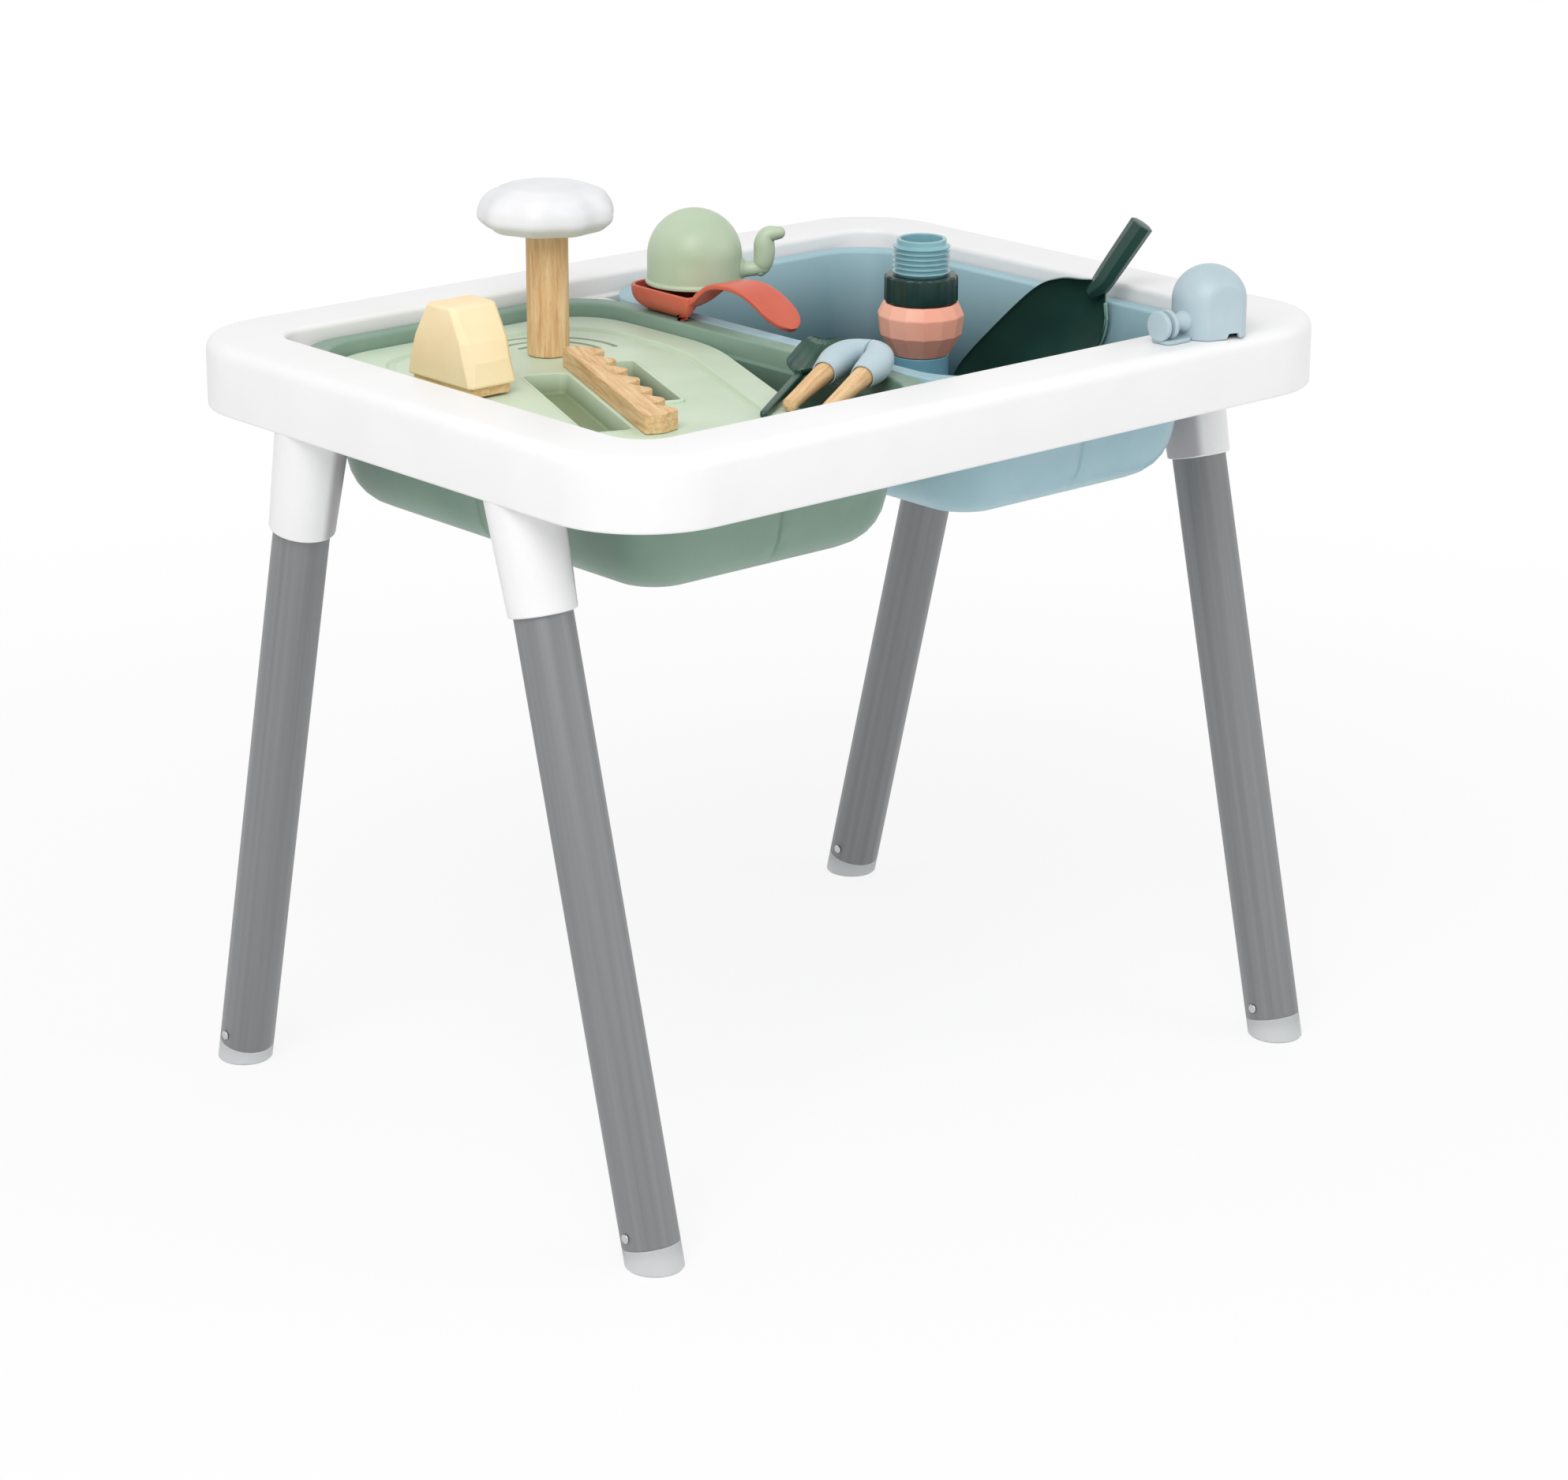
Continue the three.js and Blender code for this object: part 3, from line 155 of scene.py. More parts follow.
@dataclass(frozen=True)
class Finish:
    """What every finish has: its own name, and the record's slot that it stands for."""

    name: str
    slot: str

    def inputs(self, tree: NodeTree) -> dict[str, object]:
        """Adds the finish's own nodes and gives what goes into its shader."""
        raise NotImplementedError

    def material(self) -> Material:
        """Builds the node material.

        Returns:
            The new material.
        """
        material, tree = blank_material(self.name)
        shader = add_node(tree, "BsdfPrincipled", self.inputs(tree))
        add_node(tree, "OutputMaterial", {"Surface": shader.outputs["BSDF"]})
        return material


def turned_coordinates(tree: NodeTree, along: Triple) -> NodeSocket:
    """Turns Object coordinates so that their Z runs along a direction of the object.

    Args:
        tree: The material's node tree.
        along: The direction that becomes Z.

    Returns:
        The vector socket of the turned coordinates.
    """
    source = add_node(tree, "TexCoord").outputs["Object"]
    turn = Vector(along).rotation_difference(Vector((0, 0, 1))).to_euler()
    return add_node(tree, "Mapping", {"Vector": source, "Rotation": tuple(turn)}).outputs["Vector"]


@dataclass(frozen=True)
class MouldedPlastic(Finish):
    """Injection-moulded polypropylene or ABS: an even colour, a soft sheen and a faint mould texture.

    The eye sees a slightly uneven gloss, a colour that drifts a little over the hand-sized areas where
    the melt cooled slower, and a fine spark-eroded grain that breaks the highlights up.
    """

    colour: str
    shade: str
    roughness: float = 0.42
    grain_mm: float = 0.9
    grain_depth_mm: float = 0.012
    ior: float = 1.49
    transmission: float = 0.0
    drift_mm: float = 45.0
    gloss_mm: float = 9.0
    gloss_range: Pair = (-0.06, 0.08)
    # Painted shade: a deep colour mixed in lower down a hollow, standing in for the shade that falls there
    deep: str = ""
    painted_shade_levels: Pair = (489.0, 392.0)
    hollow: Triple | None = None
    painted_shade_facing: Pair = (0.12, 0.4)

    def paint_shade(self, tree: NodeTree, colour: NodeSocket) -> NodeSocket:
        """Paints shade into a colour down a hollow, where the face looks to its middle: the deep colour
        stands in for the shade that falls there.

        At height z it deepens by (start - z) / (start - end). A face looks to the middle m of the hollow
        where n (m - p) / |m - p| is well above nought, for its normal n and its place p.

        Args:
            tree: The material's node tree.
            colour: The colour of the open surface.

        Returns:
            The socket of the mixed colour.
        """
        source = add_node(tree, "TexCoord")
        place, normal = source.outputs["Object"], source.outputs["Normal"]
        height = add_node(tree, "SeparateXYZ", {"Vector": place}).outputs["Z"]
        start, end = (level * MM for level in self.painted_shade_levels)
        fall = {"Value": height, "From Min": start, "From Max": end}
        share = add_node(tree, "MapRange", fall).outputs["Result"]
        if self.hollow:
            middle = tuple(value * MM for value in self.hollow)
            away = add_node(tree, "VectorMath", {0: middle, 1: place}, operation="SUBTRACT").outputs["Vector"]
            toward = add_node(tree, "VectorMath", {0: away}, operation="NORMALIZE").outputs["Vector"]
            facing = add_node(tree, "VectorMath", {0: toward, 1: normal}, operation="DOT_PRODUCT")
            low, high = self.painted_shade_facing
            reach = {"Value": facing.outputs["Value"], "From Min": low, "From Max": high}
            inside = add_node(tree, "MapRange", reach, interpolation_type="SMOOTHSTEP").outputs["Result"]
            share = add_node(tree, "Math", {0: share, 1: inside}, operation="MULTIPLY").outputs["Value"]
        mixed = {"Factor": share, "A": colour, "B": linear(self.deep)}
        return add_node(tree, "Mix", mixed, data_type="RGBA").outputs["Result"]

    def inputs(self, tree: NodeTree) -> dict[str, object]:
        """Adds the finish's own nodes and gives what goes into its shader.

        Args:
            tree: The material's node tree.

        Returns:
            The shader's inputs by name.
        """
        place = add_node(tree, "TexCoord").outputs["Object"]
        sizes = ((self.drift_mm, 3.0), (self.gloss_mm, 4.0), (self.grain_mm, 2.0))
        patterns = [{"Vector": place, "Scale": per_metre(size), "Detail": detail} for size, detail in sizes]
        drift, gloss, grain = (add_node(tree, "TexNoise", row).outputs["Fac"] for row in patterns)
        stops = ((0.36, self.shade), (0.6, self.colour))
        colour = add_node(tree, "ValToRGB", {"Fac": drift}, stops).outputs["Color"]
        low, high = (self.roughness + step for step in self.gloss_range)
        rough = add_node(tree, "MapRange", {"Value": gloss, "To Min": low, "To Max": high})
        bumps = {"Height": grain, "Distance": self.grain_depth_mm * MM, "Strength": 1.0}
        bump = add_node(tree, "Bump", bumps)
        # The base colour takes the painted shade when a deep colour is given
        return {
            "Base Color": self.paint_shade(tree, colour) if self.deep else colour, "IOR": self.ior,
            "Roughness": rough.outputs["Result"], "Normal": bump.outputs["Normal"],
            "Transmission Weight": self.transmission,
        }


@dataclass(frozen=True)
class PowderCoat(Finish):
    """Grey powder coat baked on drawn steel tube: satin, with long faint draw lines under the coat.

    The eye sees soft lighter and darker streaks along the tube and a very fine speckle.
    """

    colour: str
    shade: str
    along: Triple
    streak_mm: float = 5.0
    stretch: float = 0.012
    speckle_mm: float = 0.8
    speckle_depth_mm: float = 0.02
    metallic: float = 0.35
    roughness: float = 0.42

    def inputs(self, tree: NodeTree) -> dict[str, object]:
        """Adds the finish's own nodes and gives what goes into its shader.

        Args:
            tree: The material's node tree.

        Returns:
            The shader's inputs by name.
        """
        turned = turned_coordinates(tree, self.along)
        longer = {"Vector": turned, "Scale": (1.0, 1.0, self.stretch)}
        drawn = add_node(tree, "Mapping", longer).outputs["Vector"]
        rows = ((drawn, self.streak_mm, 4.0), (turned, self.speckle_mm, 2.0))
        patterns = [{"Vector": at, "Scale": per_metre(size), "Detail": detail} for at, size, detail in rows]
        streak, speckle = (add_node(tree, "TexNoise", row).outputs["Fac"] for row in patterns)
        colour = add_node(tree, "ValToRGB", {"Fac": streak}, ((0.3, self.shade), (0.7, self.colour)))
        bumps = {"Height": speckle, "Distance": self.speckle_depth_mm * MM, "Strength": 1.0}
        bump = add_node(tree, "Bump", bumps)
        return {
            "Base Color": colour.outputs["Color"], "Metallic": self.metallic, "Roughness": self.roughness,
            "Normal": bump.outputs["Normal"],
        }


@dataclass(frozen=True)
class Beech(Finish):
    """Sanded, unvarnished beech: warm tan with long soft grain and short darker flecks along it."""

    along: Triple
    light: str = "efd0a2"
    mid: str = "e2bc8b"
    dark: str = "cd9f6d"
    grain_mm: float = 3.2
    grain_stretch: float = 0.09
    grain_depth_mm: float = 0.12
    fleck_mm: float = 1.1
    fleck_stretch: float = 0.22
    fleck_share: float = 0.4
    roughness: float = 0.6
    ior: float = 1.45

    def inputs(self, tree: NodeTree) -> dict[str, object]:
        """Adds the finish's own nodes and gives what goes into its shader.

        Args:
            tree: The material's node tree.

        Returns:
            The shader's inputs by name.
        """
        turned = turned_coordinates(tree, self.along)
        patterns = []
        for stretch, size, detail, twist in (
            (self.grain_stretch, self.grain_mm, 5.0, 0.6), (self.fleck_stretch, self.fleck_mm, 1.0, 0.0),
        ):
            longer = add_node(tree, "Mapping", {"Vector": turned, "Scale": (1.0, 1.0, stretch)})
            place, scale = longer.outputs["Vector"], per_metre(size)
            values = {"Vector": place, "Scale": scale, "Detail": detail, "Distortion": twist}
            patterns.append(add_node(tree, "TexNoise", values).outputs["Fac"])
        grain, fleck = patterns
        stops = ((0.3, self.dark), (0.5, self.mid), (0.72, self.light))
        wood = add_node(tree, "ValToRGB", {"Fac": grain}, stops).outputs["Color"]
        mask = add_node(tree, "MapRange", {
            "Value": fleck, "From Min": 0.6, "From Max": 0.72, "To Max": self.fleck_share,
        }).outputs["Result"]
        colour = add_node(tree, "Mix", {"Factor": mask, "A": wood, "B": linear(self.dark)}, data_type="RGBA")
        bumps = {"Height": grain, "Distance": self.grain_depth_mm * MM, "Strength": 0.8}
        bump = add_node(tree, "Bump", bumps)
        return {
            "Base Color": colour.outputs["Result"], "Roughness": self.roughness, "IOR": self.ior,
            "Normal": bump.outputs["Normal"],
        }


@dataclass(frozen=True)
class ZincSteel(Finish):
    """Bright zinc-plated steel of the screws and rivets: a light metal with a fine uneven gloss."""

    colour: str
    cloud_mm: float = 1.5
    roughness: Pair = (0.22, 0.4)

    def inputs(self, tree: NodeTree) -> dict[str, object]:
        """Adds the finish's own nodes and gives what goes into its shader.

        Args:
            tree: The material's node tree.

        Returns:
            The shader's inputs by name.
        """
        place = add_node(tree, "TexCoord").outputs["Object"]
        clouds = {"Vector": place, "Scale": per_metre(self.cloud_mm), "Detail": 3.0}
        cloud = add_node(tree, "TexNoise", clouds).outputs["Fac"]
        low, high = self.roughness
        rough = add_node(tree, "MapRange", {"Value": cloud, "To Min": low, "To Max": high})
        return {"Base Color": linear(self.colour), "Metallic": 1.0, "Roughness": rough.outputs["Result"]}


# Shapes as whole arrays, in millimetres until mesh_object() puts them in metres


def filleted(corners: Array, radii: Array, steps: int = 5, closed: bool = False) -> Array:
    """Rounds the corners of a polyline with quadratic curves.

    Each corner b becomes p(t) = (1 - t)^2 a + 2 t (1 - t) b + t^2 c, where a and c lie on its two edges,
    a radius away from b and never past the middle of an edge.

    Args:
        corners: Points as rows, in any number of dimensions.
        radii: One radius per corner; a radius of zero keeps the corner sharp.
        steps: Pieces of each rounded corner.
        closed: Whether the last corner joins the first.

    Returns:
        The rounded line's points as rows.
    """
    before = np.roll(corners, 1, axis=0) - corners
    after = np.roll(corners, -1, axis=0) - corners
    long_before = np.linalg.norm(before, axis=1)
    long_after = np.linalg.norm(after, axis=1)
    reach = np.minimum(radii, 0.499 * np.minimum(long_before, long_after))
    if not closed:
        reach[0], reach[-1] = 0, 0
    a = corners + before * (reach / np.maximum(long_before, 1e-9))[:, None]
    c = corners + after * (reach / np.maximum(long_after, 1e-9))[:, None]
    t = np.linspace(0, 1, steps + 1)[None, :, None]
    curve = (1 - t) ** 2 * a[:, None] + 2 * t * (1 - t) * corners[:, None] + t**2 * c[:, None]
    keep = np.ones(curve.shape[:2], bool)
    keep[reach <= 0, 1:] = False
    return curve[keep]


def profile(rows: Rows, steps: int = 5, closed: bool = False) -> Array:
    """Rounds a line whose rows each end in that corner's fillet radius."""
    table = np.array(rows, float)
    return filleted(table[:, :-1], table[:, -1], steps, closed)


def rounded_rings(
    half_x: Array,
    half_y: Array,
    radius: Array,
    z: Array,
    centre: Pair = (0.0, 0.0),
    corner_steps: int = 10,
    side_shares: Array | None = None,
) -> Array:
    """Stacks rounded rectangles: quarter arcs at the corners, joined by points along the straight sides.

    Args:
        half_x: Half length of each ring along X.
        half_y: Half length of each ring along Y.
        radius: Corner radius of each ring.
        z: Height of each ring.
        centre: Middle of the rings in X and Y.
        corner_steps: Pieces of each corner arc.
        side_shares: Places of the points along each side, as shares of its length.

    Returns:
        An array of rings by points by three, anticlockwise seen from above.
    """
    shares = np.linspace(0, 1, 5)[1:-1] if side_shares is None else side_shares
    half_x, half_y, radius, z = (np.array(a, float) for a in np.broadcast_arrays(half_x, half_y, radius, z))
    radius = np.minimum(radius, np.minimum(half_x, half_y))
    signs = np.array([[1, -1], [1, 1], [-1, 1], [-1, -1]])
    starts = np.radians([-90, 0, 90, 180])
    angles = starts[:, None] + np.linspace(0, np.pi / 2, corner_steps + 1)[None, :]
    inner = np.stack([half_x - radius, half_y - radius], -1)[:, None, None, :] * signs[None, :, None, :]
    arcs = inner + radius[:, None, None, None] * np.stack([np.cos(angles), np.sin(angles)], -1)[None]
    ends, next_starts = arcs[:, :, -1], np.roll(arcs[:, :, 0], -1, axis=1)
    sides = ends[:, :, None] + (next_starts - ends)[:, :, None] * shares[None, None, :, None]
    flat = np.concatenate([arcs, sides], axis=2).reshape(len(z), -1, 2) + np.array(centre)
    return np.concatenate([flat, np.broadcast_to(z[:, None, None], (*flat.shape[:2], 1))], axis=-1)


def turned_rings(
    line: Array,
    centre: Pair = (0.0, 0.0),
    sides: int = 64,
    wave: float = 0.0,
    waves: int = 0,
) -> Array:
    """Turns a line of radius and height pairs about an upright axis.

    With waves, the radius at angle a is r (1 + wave cos(waves a)).

    Args:
        line: Radius and height of each ring, as rows.
        centre: Where the axis stands in X and Y.
        sides: Points round each ring.
        wave: How far the radius swells, as a share; one number or one per ring.
        waves: How many swellings there are round the axis.

    Returns:
        An array of rings by points by three.
    """
    angle = np.linspace(0, 2 * np.pi, sides, endpoint=False)
    swell = 1 + np.broadcast_to(wave, len(line))[:, None] * np.cos(waves * angle)[None, :]
    radius = line[:, :1] * swell
    x, y = centre[0] + radius * np.cos(angle), centre[1] + radius * np.sin(angle)
    return np.stack([x, y, np.broadcast_to(line[:, 1:2], x.shape)], axis=-1)


def smooth_path(points: Array, steps: int = 8) -> Array:
    """Draws a Catmull-Rom curve through points, with each span cut into equal steps.

    On a span from p1 to p2 the curve is 0.5 (2 p1 + (p2 - p0) t + (2 p0 - 5 p1 + 4 p2 - p3) t^2
    + (3 p1 - p0 - 3 p2 + p3) t^3), and it passes through every point.

    Args:
        points: Points as rows, in any number of dimensions.
        steps: Steps on each span.

    Returns:
        The curve's points as rows.
    """
    padded = np.concatenate([2 * points[:1] - points[1:2], points, 2 * points[-1:] - points[-2:-1]])
    p0, p1, p2, p3 = padded[:-3, None], padded[1:-2, None], padded[2:-1, None], padded[3:, None]
    t = np.linspace(0, 1, steps, endpoint=False)[None, :, None]
    curve = 0.5 * (
        2 * p1 + (p2 - p0) * t + (2 * p0 - 5 * p1 + 4 * p2 - p3) * t**2 + (3 * p1 - p0 - 3 * p2 + p3) * t**3
    )
    return np.concatenate([curve.reshape(-1, points.shape[1]), points[-1:]])


def unit(vectors: Array) -> Array:
    """Scales vectors to length one."""
    return vectors / np.linalg.norm(vectors, axis=-1, keepdims=True)


def swept_rings(path: Array, section: Array, size: Array, upward: Array = UP) -> Array:
    """Carries a flat section along a path, square to it.

    At each point the section's first axis is upward x tangent and its second is tangent x first, so it
    never twists about the path.

    Args:
        path: The path's points as rows of three.
        section: The section's points as rows of two.
        size: How much the section's two axes grow at each path point, as rows of two.
        upward: The direction that the section's second axis leans to.

    Returns:
        An array of rings by points by three.
    """
    tangent = unit(np.gradient(path, axis=0))
    first = unit(np.cross(upward, tangent))
    second = np.cross(tangent, first)
    u = section[None, :, 0, None] * size[:, None, :1]
    v = section[None, :, 1, None] * size[:, None, 1:2]
    return path[:, None] + u * first[:, None] + v * second[:, None]


def round_section(sides: int = 32) -> Array:
    """Gives a unit circle as a section."""
    angle = np.linspace(0, 2 * np.pi, sides, endpoint=False)
    return np.stack([np.cos(angle), np.sin(angle)], axis=-1)


def lying_outlines(outlines: list[Array], heights: Sequence[float]) -> Array:
    """Stacks flat outlines as rings.

    Args:
        outlines: Outlines of points as rows of two, all with as many points.
        heights: The height of each.

    Returns:
        An array of rings by points by three.
    """
    return np.array([np.column_stack([line, np.full(len(line), z)]) for line, z in zip(outlines, heights)])


def tube_rings(
    points: Rows,
    domes: Pair = (1.0, 1.0),
    section: Array | None = None,
    steps: int = 8,
    upward: Array = UP,
) -> Array:
    """Sweeps a section along a smooth path and domes both ends.

    An end's rings stand off by r s sin(a) and shrink to r cos(a) by h cos(a), as a runs from 0 to nearly a
    right angle, for half width r and half height h.

    Args:
        points: Rows of x, y, z and radius, or of x, y, z, half width and half height.
        domes: How far each end bulges, as a share s of its radius.
        section: The section, or None for a circle.
        steps: Steps on each span of the path.
        upward: The direction that the section's second axis leans to.

    Returns:
        An array of rings by points by three.
    """
    line = smooth_path(np.array(points, float), steps)
    if line.shape[1] == 4:
        line = np.column_stack([line, line[:, 3]])
    angle = np.linspace(0, np.pi / 2, 7)[1:] * NEAR_POLE
    ends = []
    for row, inner, share in ((line[0], line[1], domes[0]), (line[-1], line[-2], domes[1])):
        out = unit(row[:3] - inner[:3])
        rise = row[3] * share * np.sin(angle)
        ends.append(np.column_stack([row[:3] + rise[:, None] * out, np.cos(angle)[:, None] * row[3:5]]))
    line = np.concatenate([ends[0][::-1], line, ends[1]])
    outline = round_section() if section is None else section
    return swept_rings(line[:, :3], outline, line[:, 3:5], upward)


def placed(rings: Array, origin: Array, axes: Array) -> Array:
    """Moves points by p = origin + x a + y b + z c, where a, b and c are the rows of axes."""
    return np.asarray(origin, float) + rings @ np.asarray(axes, float)


def inset_corners(corners: Array, distance: float) -> Array:
    """Moves a convex outline's corners in, so that each edge shifts inwards by a distance.

    A corner with edge directions d and e moves by distance (n + d (1 - d.e) / (d x e)), where n is the
    inward normal of d.

    Args:
        corners: The corners as rows of two, anticlockwise.
        distance: How far each edge shifts.

    Returns:
        The moved corners.
    """
    before = unit(corners - np.roll(corners, 1, axis=0))
    after = unit(np.roll(corners, -1, axis=0) - corners)
    turn = before[:, 0] * after[:, 1] - before[:, 1] * after[:, 0]
    share = (1 - (before * after).sum(1)) / turn
    inward = np.stack([-before[:, 1], before[:, 0]], axis=-1)
    return corners + distance * (inward - before * share[:, None])


@dataclass
class Shell:
    """One closed skin: rings of points in millimetres, and how the first and last ring close.

    The rings join each other around, or else each end closes with one flat face or with a fan.
    """

    rings: Array
    around: bool = False
    flat_ends: bool = False

    def mesh_data(self) -> tuple[Array, list[list[int]]]:
        """Gives the vertices, with quads between rings and a fan at each open end.

        Returns:
            The vertices as rows of three, and the faces as lists of vertex numbers.
        """
        count, points = self.rings.shape[:2]
        index = np.arange(count * points).reshape(count, points)
        index = np.concatenate([index, index[:, :1]], axis=1)
        if self.around:
            index = np.concatenate([index, index[:1]], axis=0)
        quads = np.stack([index[:-1, :-1], index[:-1, 1:], index[1:, 1:], index[1:, :-1]], -1)
        vertices, faces = self.rings.reshape(-1, 3), quads.reshape(-1, 4).tolist()
        if self.flat_ends:
            faces += [index[0, -2::-1].tolist(), index[-1, :-1].tolist()]
        elif not self.around:
            first, last = len(vertices), len(vertices) + 1
            vertices = np.concatenate([vertices, [self.rings[0].mean(0)], [self.rings[-1].mean(0)]])
            low = np.stack([np.full(points, first), index[0, 1:], index[0, :-1]], -1)
            high = np.stack([np.full(points, last), index[-1, :-1], index[-1, 1:]], -1)
            faces += low.tolist() + high.tolist()
        return vertices, faces


def mesh_object(name: str, shells: list[Shell], crease: float = CREASE_DEGREES) -> Object:
    """Joins shells into one mesh in metres, turns its faces outwards and shades it smooth.

    Args:
        name: The object's name.
        shells: The closed skins.
        crease: The angle in degrees past which an edge stays sharp.

    Returns:
        The new object, at the origin and linked to the scene.
    """
    work = bmesh.new()
    for shell in shells:
        vertices, faces = shell.mesh_data()
        mesh = bpy.data.meshes.new(name)
        mesh.from_pydata((vertices * MM).tolist(), [], faces)
        work.from_mesh(mesh)
        bpy.data.meshes.remove(mesh)
    bmesh.ops.remove_doubles(work, verts=work.verts, dist=WELD_MM * MM)
    bmesh.ops.dissolve_degenerate(work, edges=work.edges, dist=WELD_MM * MM / 10)
    bmesh.ops.recalc_face_normals(work, faces=work.faces)
    mesh = bpy.data.meshes.new(name)
    work.to_mesh(mesh)
    work.free()
    thing = bpy.data.objects.new(name, mesh)
    bpy.context.scene.collection.objects.link(thing)
    shade(mesh, crease)
    return thing


def shade(mesh: Mesh, crease: float) -> None:
    """Shades a mesh smooth, with edges past the crease angle kept sharp."""
    mesh.shade_smooth()
    mesh.set_sharp_from_angle(angle=math.radians(crease))


def cut_away(thing: Object, cutters: list[Shell], crease: float) -> None:
    """Cuts shells out of an object with an exact boolean, and removes the cutters.

    Args:
        thing: The object that loses the shells' space.
        cutters: What is cut out.
        crease: The angle in degrees past which an edge stays sharp.
    """
    for number, cutter in enumerate(cutters):
        tool = mesh_object(f"cutter_{number}", [cutter])
        modifier = thing.modifiers.new("cut", "BOOLEAN")
        modifier.operation, modifier.object, modifier.solver = "DIFFERENCE", tool, "EXACT"
        bpy.context.view_layer.update()
        cut = bpy.data.meshes.new_from_object(thing.evaluated_get(bpy.context.evaluated_depsgraph_get()))
        thing.modifiers.clear()
        old, thing.data = thing.data, cut
        cut.name = thing.name
        bpy.data.meshes.remove(old)
        bpy.data.meshes.remove(tool.data)
    shade(thing.data, crease)


@dataclass
class Workshop:
    """Makes pieces: builds each mesh, dresses it, and says what it rides on and stands for."""

    materials: dict[str, Material] = field(default_factory=dict)

    def material(self, finish: Finish) -> Material:
        """Gives the finish's material, made once.

        Args:
            finish: The finish.

        Returns:
            Its one material.
        """
        if finish.name not in self.materials:
            self.materials[finish.name] = finish.material()
        return self.materials[finish.name]

    def piece(
        self,
        name: str,
        shells: list[Shell],
        finish: Finish,
        body: str,
        nodes: tuple[str, ...] = (),
        crease: float = CREASE_DEGREES,
        cutters: list[Shell] | None = None,
        bevel_mm: float = 0.0,
    ) -> Object:
        """Makes one piece of the object.

        Args:
            name: The piece's name.
            shells: Its closed skins.
            finish: What it is made of.
            body: The body that it rides on.
            nodes: The CAD nodes that it stands for.
            crease: The angle in degrees past which an edge stays sharp.
            cutters: What is cut out of it.
            bevel_mm: The width of its softened edges, or 0 for none.

        Returns:
            The new object.
        """
        thing = mesh_object(name, shells, crease)
        if cutters:
            cut_away(thing, cutters, crease)
        if bevel_mm:
            bevel = thing.modifiers.new("softened_edges", "BEVEL")
            bevel.width, bevel.segments, bevel.limit_method = bevel_mm * MM, 3, "ANGLE"
            bevel.angle_limit, bevel.harden_normals = math.radians(BEVEL_FROM_DEGREES), True
        thing.data.materials.append(self.material(finish))
        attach(thing, body)
        if nodes:
            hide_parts(*nodes)
        LOG.info("%s: %d faces on %s", name, len(thing.data.polygons), body)
        return thing


# The object's finishes, each with the record's material slot that it stands for

# Painted shade: the frame's inner face darkens to a grey deep colour
FRAME_WHITE = MouldedPlastic(
    "gloss_white_polypropylene", "frame_white", "f2f2f2", "f0f0f0", 0.36, 1.4, 0.008,
    deep="b4b0b2", painted_shade_levels=(498, 470), hollow=(0, 0, 520),
)
# Painted shade: the sand bin's inside walls darken towards its floor
BIN_GREEN = MouldedPlastic(
    "moulded_green_polypropylene", "sand_bin_green", "84a08f", "7e9a8a", 0.42,
    deep="35503f", painted_shade_levels=(490, 445), hollow=(-128, 0, 540),
)
# Painted shade: the water bin's inside walls darken towards its floor
BIN_BLUE = MouldedPlastic(
    "moulded_blue_polypropylene", "water_bin_blue", "a6c8d2", "9fc2cc", 0.4,
    deep="223e49", painted_shade_levels=(494, 415), hollow=(128, 0, 560),
)
# Painted shade: the lid darkens below its tray, down its trough and slot
LID_GREEN = MouldedPlastic(
    "moulded_pale_green_lid", "lid_green", "cfdfc8", "c8d9c1", 0.44, deep="7d8d69", painted_shade_levels=(480.4, 467),
)
SOFT_WHITE = MouldedPlastic("satin_white_abs", "soft_white", "ececee", "e2e3e5", 0.5, 2.2, 0.03)
CREAM = MouldedPlastic("cream_stone_resin", "cream", "fde7bd", "f9dfb0", 0.55, 2.6, 0.05)
SAGE = MouldedPlastic("satin_sage_polypropylene", "sage", "bdceb3", "b4c6aa", 0.38)
CORAL = MouldedPlastic("satin_coral_polypropylene", "coral", "d5664f", "cc5c46", 0.36)
FOREST = MouldedPlastic("satin_forest_polypropylene", "forest", "28503f", "21443a", 0.36)
PINE = MouldedPlastic("satin_pine_polypropylene", "pine", "25493f", "1f3f37", 0.34)
SPRUCE = MouldedPlastic("ribbed_dark_pine_polypropylene", "pine", "0f332d", "0b2a25", 0.3)
# Painted highlight: a pale pine on one edge bead of the scoop stands in for the highlight along that edge
PINE_PAINTED_HIGHLIGHT = MouldedPlastic("pine_polypropylene_painted_highlight_edge", "pine", "8fb5a8", "7fa898", 0.3)
MIST = MouldedPlastic("satin_mist_polypropylene", "mist", "b8cbd2", "afc3cb", 0.4)
TEAL_CUP = MouldedPlastic("satin_teal_polypropylene", "teal", "6d9fb0", "6698aa", 0.36)
PEACH = MouldedPlastic("satin_peach_polypropylene", "peach", "fdbba3", "f9ae95", 0.5)
CLEAR_TEAL = MouldedPlastic(
    "tinted_teal_polycarbonate", "teal", "97c6cf", "8bbcc7", 0.18, transmission=0.15, ior=1.5,
)
FROSTED = MouldedPlastic(
    "frosted_clear_pvc", "foot_clear", "d2d4d5", "cacdcf", 0.5, transmission=0.35, ior=1.53,
)
STEEL = ZincSteel("zinc_plated_steel", "bright_steel", "c4c6c8")


